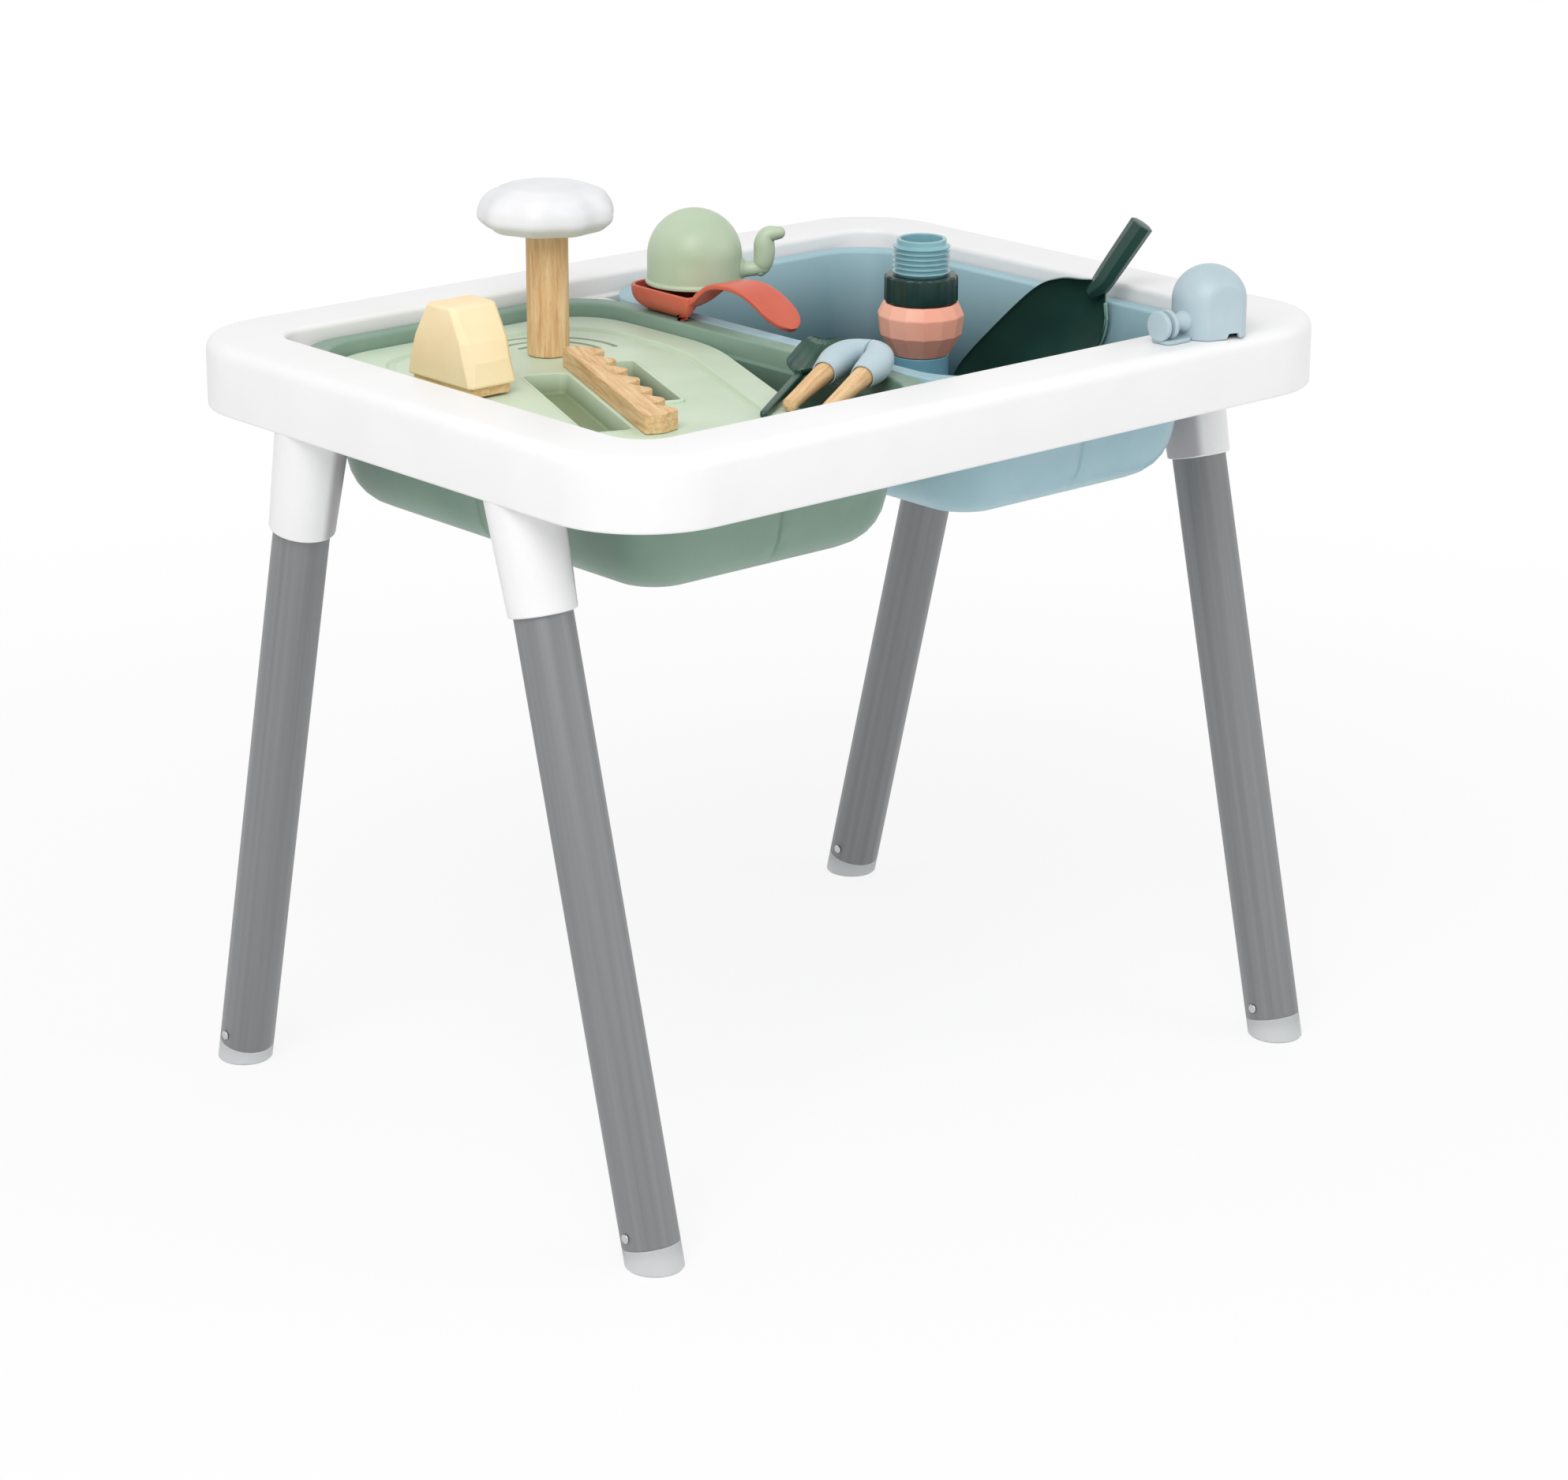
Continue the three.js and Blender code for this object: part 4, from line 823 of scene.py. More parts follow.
@dataclass
class RimFrame:
    """The one-piece white rim: an outer apron, a flat top and an inner ledge for the bins' lips."""

    half_x: float = 305.0
    half_y: float = 230.0
    # Corner radius against the distance in from the outer edge
    radius_at: Rows = ((0, 9, 44, 48, 56), (65.5, 56.5, 28, 24, 44))
    # Distance in from the outer edge, height and fillet of each corner of the section
    section: Rows = (
        (0, 456, 3), (0, 500, 9), (48, 500, 4), (48, 486, 1), (56, 486, 1),
        (56, 482, 1), (44, 482, 1), (44, 496, 2), (4, 496, 2), (4, 456, 1),
    )
    boss_bore: float = 1.9
    boss_radius: float = 4.5
    boss_bottom: float = 466.3
    boss_top: float = 498.0

    def rings(self) -> Array:
        """Carries the section round the table: a rounded rectangle for each point of the section.

        Returns:
            The rings of the closed section.
        """
        inset, z = profile(self.section, 6, closed=True).T
        radius = np.interp(inset, *self.radius_at)
        return rounded_rings(self.half_x - inset, self.half_y - inset, radius, z, corner_steps=18)

    def bosses(self) -> list[Shell]:
        """Gives the screw bosses that hang from the rim's underside, two over each leg.

        Returns:
            One shell for each screw.
        """
        bore, radius, low, top = self.boss_bore, self.boss_radius, self.boss_bottom, self.boss_top
        line = profile([(bore, low, 0), (radius, low, 0.5), (radius, top, 0), (bore, top, 0)])
        places = [leg.screw_place(end) for leg in map(Leg, Side) for end in (-1, 1)]
        return [Shell(turned_rings(line, place, 20), True) for place in places]

    def build(self, shop: Workshop) -> None:
        """Makes the frame; the crossbar under the bins keeps its CAD shape in the same finish.

        Args:
            shop: The workshop that makes the pieces.
        """
        shells = [Shell(self.rings(), True), *self.bosses()]
        shop.piece("rim_frame", shells, FRAME_WHITE, "frame", ("table_frame",))
        dress_node("centre_crossbar", shop.material(FRAME_WHITE))


def dress_node(node: str, material: Material) -> None:
    """Gives a CAD node that stays in view a new material.

    Args:
        node: The node's name.
        material: What it gets.
    """
    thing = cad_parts[node]
    if not thing.material_slots:
        thing.data.materials.append(material)
    for slot in thing.material_slots:
        slot.material = material


@dataclass
class Leg:
    """One leg: a white sleeve under the rim, a coated steel tube, a frosted foot cap, rivet and screws."""

    side: Side
    foot_at: Pair = (276.0, 215.0)
    socket_y: float = 105.3
    socket_end: float = 281.0
    flange_x: float = 281.3
    apron_bottom: float = 456.0
    sleeve_length: float = 69.0
    insertion: float = 62.0
    tube_radius: float = 18.0
    tube_wall: float = 1.5
    cap_height: float = 14.0
    plug_length: float = 26.0
    rivet_above: float = 8.0
    screw_spacing: float = 72.0
    fit_gap: float = 0.3
    flange_half: Pair = (19.4, 46.0)
    flange_radius: float = 6.0
    flange_heights: Pair = (455.4, 466.0)
    hole_radii: Pair = (2.05, 3.9)
    counterbore_top: float = 458.7

    @property
    def sx(self) -> int:
        """Gives the sign of X at this leg."""
        return self.side.value[1]

    @property
    def sy(self) -> int:
        """Gives the sign of Y at this leg."""
        return self.side.value[2]

    @property
    def socket_x(self) -> float:
        """Gives the X of this leg's flange and screws."""
        return self.sx * self.flange_x

    def axes(self) -> tuple[Array, Array, float]:
        """Gives the foot's place, the leg's across, third and along directions, and its length.

        Returns:
            The place, the directions as rows, and the length.
        """
        foot = np.array([self.sx * self.foot_at[0], self.sy * self.foot_at[1], 0.0])
        socket = np.array([self.sx * self.socket_end, self.sy * self.socket_y, self.apron_bottom])
        reach = float(np.linalg.norm(socket - foot))
        along = unit(socket - foot)
        across = unit(np.array([1.0, 0, 0]) - along[0] * along)
        return foot, np.array([across, np.cross(along, across), along]), reach

    def on_leg(self, line: Array, sides: int = 64) -> Array:
        """Turns a line about the leg's own axis."""
        foot, axes, _ = self.axes()
        return placed(turned_rings(line, sides=sides), foot, axes)

    def cut_level(self, rings: Array, levels: dict[int, float]) -> Array:
        """Slides whole rings along the leg until they lie level, p + along (z - p.z) / along.z.

        Args:
            rings: The leg's rings.
            levels: The height of each ring that has to lie level, by its number.

        Returns:
            The rings with those ones slid.
        """
        along = self.axes()[1][2]
        out = rings.copy()
        for number, z in levels.items():
            out[number] += along * ((z - out[number][:, 2:3]) / along[2])
        return out

    def sleeve(self) -> Shell:
        """Gives the sleeve: the bore, then its mouth, the tapered outside and the level top.

        Returns:
            The closed shell.
        """
        reach = self.axes()[2]
        low = reach - self.sleeve_length
        bore, deep = self.tube_radius + self.fit_gap, low + self.insertion + self.fit_gap
        line = profile([
            (bore, deep, 0), (bore, low, 0.8), (21, low, 1.8), (23.5, reach, 0), (23.6, reach + 4, 0),
        ])
        return Shell(self.cut_level(self.on_leg(line), {len(line) - 1: self.apron_bottom + 1.5}))

    def flange(self) -> tuple[Shell, list[Shell]]:
        """Gives the plate that the screws go through, and its counterbored holes.

        Returns:
            The plate's shell, and the shells of its holes.
        """
        low, high = self.flange_heights
        inset, z = profile([(1, low, 0), (0, low, 0.8), (0, high, 0.8), (1, high, 0)]).T
        half_x, half_y = self.flange_half
        middle = (self.socket_x, self.sy * self.socket_y)
        rings = rounded_rings(half_x - inset, half_y - inset, self.flange_radius - inset, z, middle)
        thin, wide = self.hole_radii
        step = self.counterbore_top
        hole = profile([(wide, low - 5.4, 0), (wide, step, 0), (thin, step, 0), (thin, high + 4, 0)])
        return Shell(rings), [Shell(turned_rings(hole, self.screw_place(end), 24)) for end in (-1, 1)]

    def screw_place(self, end: int) -> Pair:
        """Gives where the near (-1) or far (1) screw stands."""
        return self.socket_x, self.sy * self.socket_y + end * self.screw_spacing / 2

    def tube(self) -> Shell:
        """Gives the steel tube, open at both ends, with its cut edges eased.

        Returns:
            The closed shell.
        """
        low, high = self.cap_height, self.axes()[2] - self.sleeve_length + self.insertion
        inner, outer = self.tube_radius - self.tube_wall, self.tube_radius
        corners = [(inner, high, 0.4), (inner, low, 0.4), (outer, low, 0.4), (outer, high, 0.4)]
        return Shell(self.on_leg(profile(corners, 3, True), 72), True)

    def cap(self) -> Shell:
        """Gives the foot cap: a plug inside the tube, a shoulder and a level sole.

        Returns:
            The closed shell.
        """
        outer = self.tube_radius
        plug, top = outer - self.tube_wall - self.fit_gap, self.cap_height - self.fit_gap
        line = profile([
            (plug - 1, top + self.plug_length, 0), (plug, top + self.plug_length - 1, 0), (plug, top, 0.5),
            (outer, top, 0.8), (outer, 2, 0), (outer - 0.9, 0, 0), (12, 0, 0),
        ])
        count = len(line)
        return Shell(self.cut_level(self.on_leg(line), {count - 3: 1.0, count - 2: 0.0, count - 1: 0.0}))

    def rivet(self) -> Shell:
        """Gives the rivet through the tube, with a domed head at each side.

        Returns:
            The closed shell.
        """
        head = [(3.0, 18.3, 0), (3.0, 19.0, 0.4), (1.6, 19.7, 0.6), (0.3, 19.7, 0)]
        half = profile([(1.5, 0, 0), (1.5, 18.3, 0), *head], 3)
        line = np.concatenate([half[::-1] * [1, -1], half[1:]])
        foot, axes, _ = self.axes()
        height = self.cap_height + self.rivet_above
        lying = placed(turned_rings(line, sides=32), (0, 0, height), np.roll(np.eye(3), -1, 0))
        return Shell(placed(lying, foot, axes))

    def screw(self, end: int) -> Shell:
        """Gives a pan-head screw with a drive recess.

        Args:
            end: -1 for the near screw and 1 for the far one.

        Returns:
            The closed shell.
        """
        low = self.apron_bottom + 0.15
        line = profile([
            (0.6, low + 1.4, 0), (1.3, low, 0.2), (2.6, low, 0.9), (3.5, low + 1.2, 0.3),
            (3.5, low + 2.4, 0), (1.75, low + 2.4, 0), (1.75, low + 20.5, 0), (0.3, low + 24, 0),
        ], 3)
        return Shell(turned_rings(line, self.screw_place(end), 32))

    def build(self, shop: Workshop) -> None:
        """Makes this leg's pieces.

        Args:
            shop: The workshop that makes the pieces.
        """
        name = self.side.value[0]
        body, sleeve_node = f"leg_{name}", (f"leg_sleeve_{name}",)
        flange, holes = self.flange()
        shop.piece(f"sleeve_{name}", [self.sleeve()], FRAME_WHITE, "frame", sleeve_node)
        shop.piece(f"sleeve_flange_{name}", [flange], FRAME_WHITE, "frame", sleeve_node, cutters=holes)
        along = tuple(self.axes()[1][2])
        coat = PowderCoat(f"grey_powder_coat_{name}", "leg_steel", "8a8b8d", "7d7e80", along)
        shop.piece(f"tube_{name}", [self.tube()], coat, body, (f"leg_tube_{name}",))
        shop.piece(f"foot_{name}", [self.cap()], FROSTED, body, (f"foot_cap_{name}",))
        shop.piece(f"rivet_{name}", [self.rivet()], STEEL, body, (f"foot_rivet_{name}",))
        for end, word in ((-1, "near"), (1, "far")):
            node = f"sleeve_screw_{name}_{word}"
            shop.piece(f"screw_{name}_{word}", [self.screw(end)], STEEL, "frame", (node,))


@dataclass
class Bin:
    """A drafted tub with a flat lip all round; a shallow upright groove marks the middle of each wall."""

    name: str
    body: str
    finish: MouldedPlastic
    side: int
    lid_ledge: bool
    half: Pair = (127.4, 180.5)
    centre_x: float = 128.1
    bottom: float = 390.0
    wall: float = 2.5
    lip_top: float = 490.0
    lip_height: float = 3.5
    lip_width: float = 10.0
    lip_radius: float = 48.0
    ledge_heights: Pair = (477.7, 461.7)
    radius_fall: float = 0.55
    draft: float = 18.5 / 90
    groove_half: float = 1.5
    groove_depth: float = 1.7
    groove_heights: Pair = (399.0, 481.0)
    groove_fades: Pair = (8.0, 2.0)
    # Points along each wall as shares of its straight length, closer together at the groove
    side_shares: tuple[float, ...] = (
        0.12, 0.3, 0.42, 0.488, 0.4915, 0.495, 0.5, 0.505, 0.5085, 0.512, 0.58, 0.7, 0.88,
    )

    def section(self) -> Array:
        """Gives inset and height from the middle of the underside, over the lip, to the floor's middle.

        Returns:
            The section's points as rows of two.
        """
        outer, inner = self.lip_width, self.lip_width + self.wall

        def at(start: float, z: float) -> float:
            """How far in the drafted wall stands at a height."""
            return start + (self.lip_top - z) * self.draft

        low, floor = self.bottom, self.bottom + self.wall
        top, under = self.lip_top, self.lip_top - self.lip_height
        seat, below = self.ledge_heights
        back = at(inner, seat)
        ledge = [(back, seat, 0.8), (back + 3.5, seat, 0.8), (at(inner, below), below, 3)]
        return profile([
            (90, low, 0), (at(outer, 415), low, 38), (at(outer, under), under, 1.2), (0.8, under, 0.4),
            (0, under + 0.4, 0.3), (0, top, 1.2), (inner, top, 2.0), *(ledge if self.lid_ledge else []),
            (at(inner, 412), floor, 35.5), (90, floor, 0),
        ], 7)

    def rings(self) -> Array:
        """Carries the section round the bin and presses the grooves into the outside of its walls.

        Returns:
            The bin's rings.
        """
        inset, z = self.section().T
        shares = np.array(self.side_shares)
        centre = (self.side * self.centre_x, 0.0)
        half_x, half_y = self.half
        radius = self.lip_radius - self.radius_fall * inset
        return self.pressed(rounded_rings(half_x - inset, half_y - inset, radius, z, centre, 14, shares))

    def pressed(self, rings: Array) -> Array:
        """Moves the outside's points in by d (1 - (t / w)^2), t being the distance from a wall's middle.

        Args:
            rings: The plain bin's rings.

        Returns:
            The rings with the grooves.
        """
        outside = np.arange(len(rings)) < np.argmax(rings[:, 0, 2])
        z = rings[:, 0, 2]
        low, high = self.groove_heights
        rise, fall = self.groove_fades
        fade = np.clip((z - low) / rise, 0, 1) * np.clip((high - z) / fall, 0, 1) * outside
        local = rings - [self.side * self.centre_x, 0, 0]
        out = rings.copy()
        for across, normal in ((0, 1), (1, 0)):
            share = np.clip(1 - (local[..., across] / self.groove_half) ** 2, 0, 1)
            out[..., normal] -= np.sign(local[..., normal]) * self.groove_depth * share * fade[:, None]
        return out

    def build(self, shop: Workshop) -> None:
        """Makes the bin."""
        shop.piece(self.name + "_tub", [Shell(self.rings())], self.finish, self.body, (self.name,))


# The direction of the lid's slanted edge, and the axes that the slot, the trough and the rake share with it
SLANT = np.array([0.3951177509689934, 0.918630482222969])
SLANT_AXES = np.array([[SLANT[1], -SLANT[0], 0], [SLANT[0], SLANT[1], 0], [0, 0, 1.0]])
SAND_CENTRE_X = -128.1
TRAY_TOP = 480.8
LID_TOP = 482.0


@dataclass
class TrayLid:
    """The lid in the sand bin: a banded tray with one slanted edge, a slot, a trough and sieve slots."""

    half: Pair = (111.772, 164.872)
    slant_shares: Pair = (0.245, 0.19)
    radii: tuple[float, ...] = (50, 14, 30, 50, 50)
    bottom: float = 478.0
    slot_at: Pair = (-113.32, -14.19)
    slot_half: Pair = (8.0, 54.0)
    slot_low: float = 468.0
    slot_room: float = 1.5
    trough_at: Pair = (-176.13, -25.09)
    trough_half: Pair = (14.0, 75.0)
    trough_room: float = 1.2
    sieve_at: Pair = (-110.01, 85.38)
    sieve_radii: tuple[float, ...] = (24, 36, 48)
    sieve_half_width: float = 2.0
    sieve_degrees: Pair = (-12, 100)
    cut_heights: Pair = (470.0, 490.0)

    def outline(self, inset: float) -> Array:
        """Gives the lid's outline, moved in by a distance.

        Args:
            inset: How far in it lies.

        Returns:
            The outline's points as rows of two.
        """
        shares = np.array([(-1, -1), (self.slant_shares[0], -1), (1, self.slant_shares[1]), (1, 1), (-1, 1)])
        moved = inset_corners(shares * self.half + [SAND_CENTRE_X, 0], inset)
        return filleted(moved, np.array(self.radii, float), 12, closed=True)

    def plate(self) -> Shell:
        """Gives the lid's plate: underside, edge, raised band and the tray inside it.

        Returns:
            The closed shell.
        """
        rows = profile([
            (30, self.bottom, 0), (0, self.bottom, 0.8), (0, LID_TOP, 1.0), (22.0, LID_TOP, 0.7),
            (23.0, 479.3, 0.4), (25.2, 479.3, 0.4), (26.6, TRAY_TOP, 0.8), (40, TRAY_TOP, 0),
        ])
        outlines = [self.outline(inset) for inset in rows[:, 0]]
        return Shell(lying_outlines(outlines, rows[:, 1]), flat_ends=True)

    def opening(self, half: Pair, room: float, radius: float, at: Pair) -> Shell:
        """Gives the space of a slanted rounded opening, wider all round than what goes through it.

        Args:
            half: Half sizes of what goes through.
            room: How much wider the opening is on each side.
            radius: Corner radius.
            at: Middle in X and Y.

        Returns:
            The closed shell.
        """
        z = np.array(self.cut_heights)
        rings = rounded_rings(half[0] + room, half[1] + room, radius, z, corner_steps=4)
        return Shell(placed(rings, (*at, 0), SLANT_AXES), flat_ends=True)

    def hoop(self, half: Pair, rows: Rows, radius: float, at: Pair) -> Shell:
        """Carries a closed section of outset, height and fillet round a slanted rounded box.

        Args:
            half: Half sizes of the box.
            rows: The section's corners.
            radius: Corner radius of the box.
            at: Middle in X and Y.

        Returns:
            The closed shell.
        """
        outset, z = profile(rows, 4, closed=True).T
        rings = rounded_rings(half[0] + outset, half[1] + outset, radius + outset, z, corner_steps=6)
        return Shell(placed(rings, (*at, 0), SLANT_AXES), True)

    def slot_rim(self) -> Shell:
        """Gives the raised rim round the slot.

        Returns:
            The closed shell.
        """
        low = self.slot_low
        rows = [(0, low, 0.5), (0, 482.8, 0.8), (3, 482.8, 1.2), (3.1, 480.2, 0), (3, low, 0.5)]
        return self.hoop(self.slot_half, rows, 3.5, self.slot_at)

    def trough(self) -> Shell:
        """Gives the trough: its outside from below, a soft lip, its inside and its floor.

        Returns:
            The closed shell.
        """
        outset, z = profile([
            (-10, 465.6, 0), (2.2, 465.6, 2), (2.2, 480.2, 0), (2.6, 481.15, 0.4), (0.4, 481.15, 0.8),
            (-1.0, 467.8, 2), (-10, 467.8, 0),
        ]).T
        half_x, half_y = self.trough_half
        rings = rounded_rings(half_x + outset, half_y + outset, 5 + np.maximum(outset, -4), z, corner_steps=6)
        return Shell(placed(rings, (*self.trough_at, 0), SLANT_AXES))

    def sieve(self, radius: float) -> Shell:
        """Gives the space of one curved sieve slot, with round ends.

        Args:
            radius: Radius of the slot's middle line.

        Returns:
            The closed shell.
        """
        start, end = np.radians(self.sieve_degrees)
        turn = np.linspace(start, end, 28)
        cap = np.linspace(0, np.pi, 9)[1:-1]
        half = self.sieve_half_width

        def arc(r: float, angles: Array) -> Array:
            """Points at a radius round the sieve's middle."""
            return np.stack([r * np.cos(angles), r * np.sin(angles)], -1)

        far = arc(radius, np.array([end])) + arc(half, end + cap)
        near = arc(radius, np.array([start])) + arc(half, start + cap + np.pi)
        flat = np.concatenate([arc(radius + half, turn), far, arc(radius - half, turn[::-1]), near])
        return Shell(lying_outlines([flat + np.array(self.sieve_at)] * 2, self.cut_heights), flat_ends=True)

    def build(self, shop: Workshop) -> None:
        """Makes the plate with its openings, then the slot's rim and the trough.

        Args:
            shop: The workshop that makes the pieces.
        """
        holes = [
            self.opening(self.slot_half, self.slot_room, 5, self.slot_at),
            self.opening(self.trough_half, self.trough_room, 5.5, self.trough_at),
            *map(self.sieve, self.sieve_radii),
        ]
        shop.piece("lid_plate", [self.plate()], LID_GREEN, "lid", ("bin_lid",), cutters=holes)
        shop.piece("lid_slot_rim", [self.slot_rim()], LID_GREEN, "lid", ("bin_lid",))
        shop.piece("lid_trough", [self.trough()], LID_GREEN, "lid", ("bin_lid",))


@dataclass
class Mushroom:
    """The mushroom stamp: a lobed white cap on a turned beech stem."""

    at: Pair = (-110.01, 85.38)
    stem_radius: float = 13.5
    stem_low: float = 481.1
    stem_high: float = 569.1
    lobes: int = 9
    lobe_depth: float = 0.028
    lobes_from: float = 22.0
    lobes_over: float = 14.0
    # Radius, height and fillet of the cap, from inside its socket over the rolled edge to the crown
    cap_rows: Rows = (
        (5, 569.3, 0), (13.8, 569.3, 0.6), (13.8, 563.6, 0.9), (24, 562.6, 3), (35.5, 562.8, 3),
        (43.4, 569.6, 3.5), (42.2, 578, 3.5), (36.8, 585.8, 3), (25.5, 590.4, 3), (4, 590.8, 0),
    )

    def stem(self) -> Shell:
        """Gives the turned stem with eased ends.

        Returns:
            The closed shell.
        """
        r, low, high = self.stem_radius, self.stem_low, self.stem_high
        line = profile([(r - 4, low, 0), (r, low, 1.5), (r, high, 1.5), (r - 4, high, 0)])
        return Shell(turned_rings(line, self.at))

    def cap(self) -> Shell:
        """Gives the cap: its socket, its rolled underside and the lobed crown.

        Returns:
            The closed shell.
        """
        line = profile(self.cap_rows, 7)
        out = np.clip((line[:, 0] - self.lobes_from) / self.lobes_over, 0, 1)
        wave = -self.lobe_depth * out * (line[:, 1] < self.cap_rows[-2][1])
        return Shell(turned_rings(line, self.at, 120, wave, self.lobes))

    def build(self, shop: Workshop) -> None:
        """Makes the stem and the cap.

        Args:
            shop: The workshop that makes the pieces.
        """
        wood = Beech("turned_beech_stem", "beech", (0, 0, 1))
        shop.piece("stamp_stem", [self.stem()], wood, "mushroom", ("mushroom_stem",))
        shop.piece("stamp_cap", [self.cap()], SOFT_WHITE, "mushroom", ("mushroom_cap",), crease=50)


@dataclass
class RockStamp:
    """The leaning faceted block stamp on a low wooden base."""

    at: Pair = (-207.98, 48.01)
    half: Pair = (18.5, 33.0)
    base_half: Pair = (16.0, 30.5)
    base_heights: Pair = (482.3, 489.3)
    low: float = 489.6
    height: float = 46.5
    # Height share, then the low and high side in X and in Y as shares of the half sizes, then the chamfer
    level_shares: Rows = (
        (-0.03, -0.97, 0.97, -0.98, 0.98, 2.5), (0, -1, 1, -1, 1, 3), (0.3, -1, 1, -0.93, 0.95, 5),
        (0.55, -1, 1, -0.8, 0.78, 4), (0.97, -0.97, 0.98, -0.45, 0.4, 3), (1, -0.9, 0.9, -0.38, 0.33, 2.5),
    )

    def rock(self) -> Shell:
        """Stacks chamfered rectangles, so that flat facets meet along creases.

        Returns:
            The closed shell.
        """
        up, low_x, high_x, low_y, high_y, chamfer = np.array(self.level_shares).T
        x, y = self.half[0] / 2, self.half[1] / 2
        half_x, half_y, z = x * (high_x - low_x), y * (high_y - low_y), self.low + up * self.height
        rings = rounded_rings(half_x, half_y, chamfer, z, (0, 0), 1, np.array([]))
        shift = np.stack([x * (low_x + high_x), y * (low_y + high_y), 0 * up], -1)
        return Shell(rings + shift[:, None] + [*self.at, 0], flat_ends=True)

    def base(self) -> Shell:
        """Gives the wooden base with eased edges.

        Returns:
            The closed shell.
        """
        low, high = self.base_heights
        inset, z = profile([(2, low, 0), (0, low, 0.8), (0, high, 0.8), (2, high, 0)]).T
        half_x, half_y = self.base_half
        return Shell(rounded_rings(half_x - inset, half_y - inset, 4 - inset / 2, z, self.at))

    def build(self, shop: Workshop) -> None:
        """Makes the base and the block.

        Args:
            shop: The workshop that makes the pieces.
        """
        wood = Beech("planed_beech_base", "beech", (0, 1, 0))
        shop.piece("rock_base", [self.base()], wood, "block", ("block_base",))
        shop.piece("rock_body", [self.rock()], CREAM, "block", ("block_stamp",), crease=6, bevel_mm=1.6)


@dataclass
class Rake:
    """The wooden sand rake: a bar with a row of blunt teeth along one edge."""

    at: Pair = (-149.17, -34.51)
    length: float = 186.0
    back: float = 12.0
    tooth: float = 11.0
    teeth: int = 7
    tooth_shares: tuple[float, ...] = (0.3, 0.5, 1.0)
    low: float = 481.1
    thickness: float = 12.0

    def build(self, shop: Workshop) -> None:
        """Makes the rake: the toothed outline, extruded, with its edges sanded round.

        Args:
            shop: The workshop that makes the pieces.
        """
        pitch = self.length / self.teeth
        start = np.arange(self.teeth)[:, None] * pitch
        y = (start + np.array(self.tooth_shares) * pitch).ravel()
        x = np.tile([self.back + self.tooth, self.back + self.tooth, self.back], self.teeth)
        points = np.concatenate([[[0, 0], [self.back, 0]], np.stack([x, y], -1), [[0, self.length]]])
        radii = np.concatenate([[3, 2], np.tile([1.6, 1.6, 1.6], self.teeth), [3]])
        flat = filleted(points, radii, 4, closed=True) - [(self.back + self.tooth) / 2, self.length / 2]
        rings = lying_outlines([flat, flat], (self.low, self.low + self.thickness))
        wood = Beech("sanded_beech_rake", "beech", (SLANT[0], SLANT[1], 0))
        shell = Shell(placed(rings, (*self.at, 0), SLANT_AXES), flat_ends=True)
        shop.piece("rake_bar", [shell], wood, "rake", ("rake",), bevel_mm=1.0)


def soft_box(sides: int = 40, power: float = 0.35) -> Array:
    """Gives a rounded square as a section, sign(cos a) |cos a|^p by sign(sin a) |sin a|^p."""
    circle = round_section(sides)
    return np.sign(circle) * np.abs(circle) ** power


def dome_rows(radius: float, crown: float, base: float) -> Rows:
    """Gives a quarter ellipse from near its top down to its foot, r cos a by base + crown sin a."""
    angle = np.linspace(np.pi / 2 * NEAR_POLE, 0, 18)
    return np.column_stack([radius * np.cos(angle), base + crown * np.sin(angle), 0 * angle]).tolist()


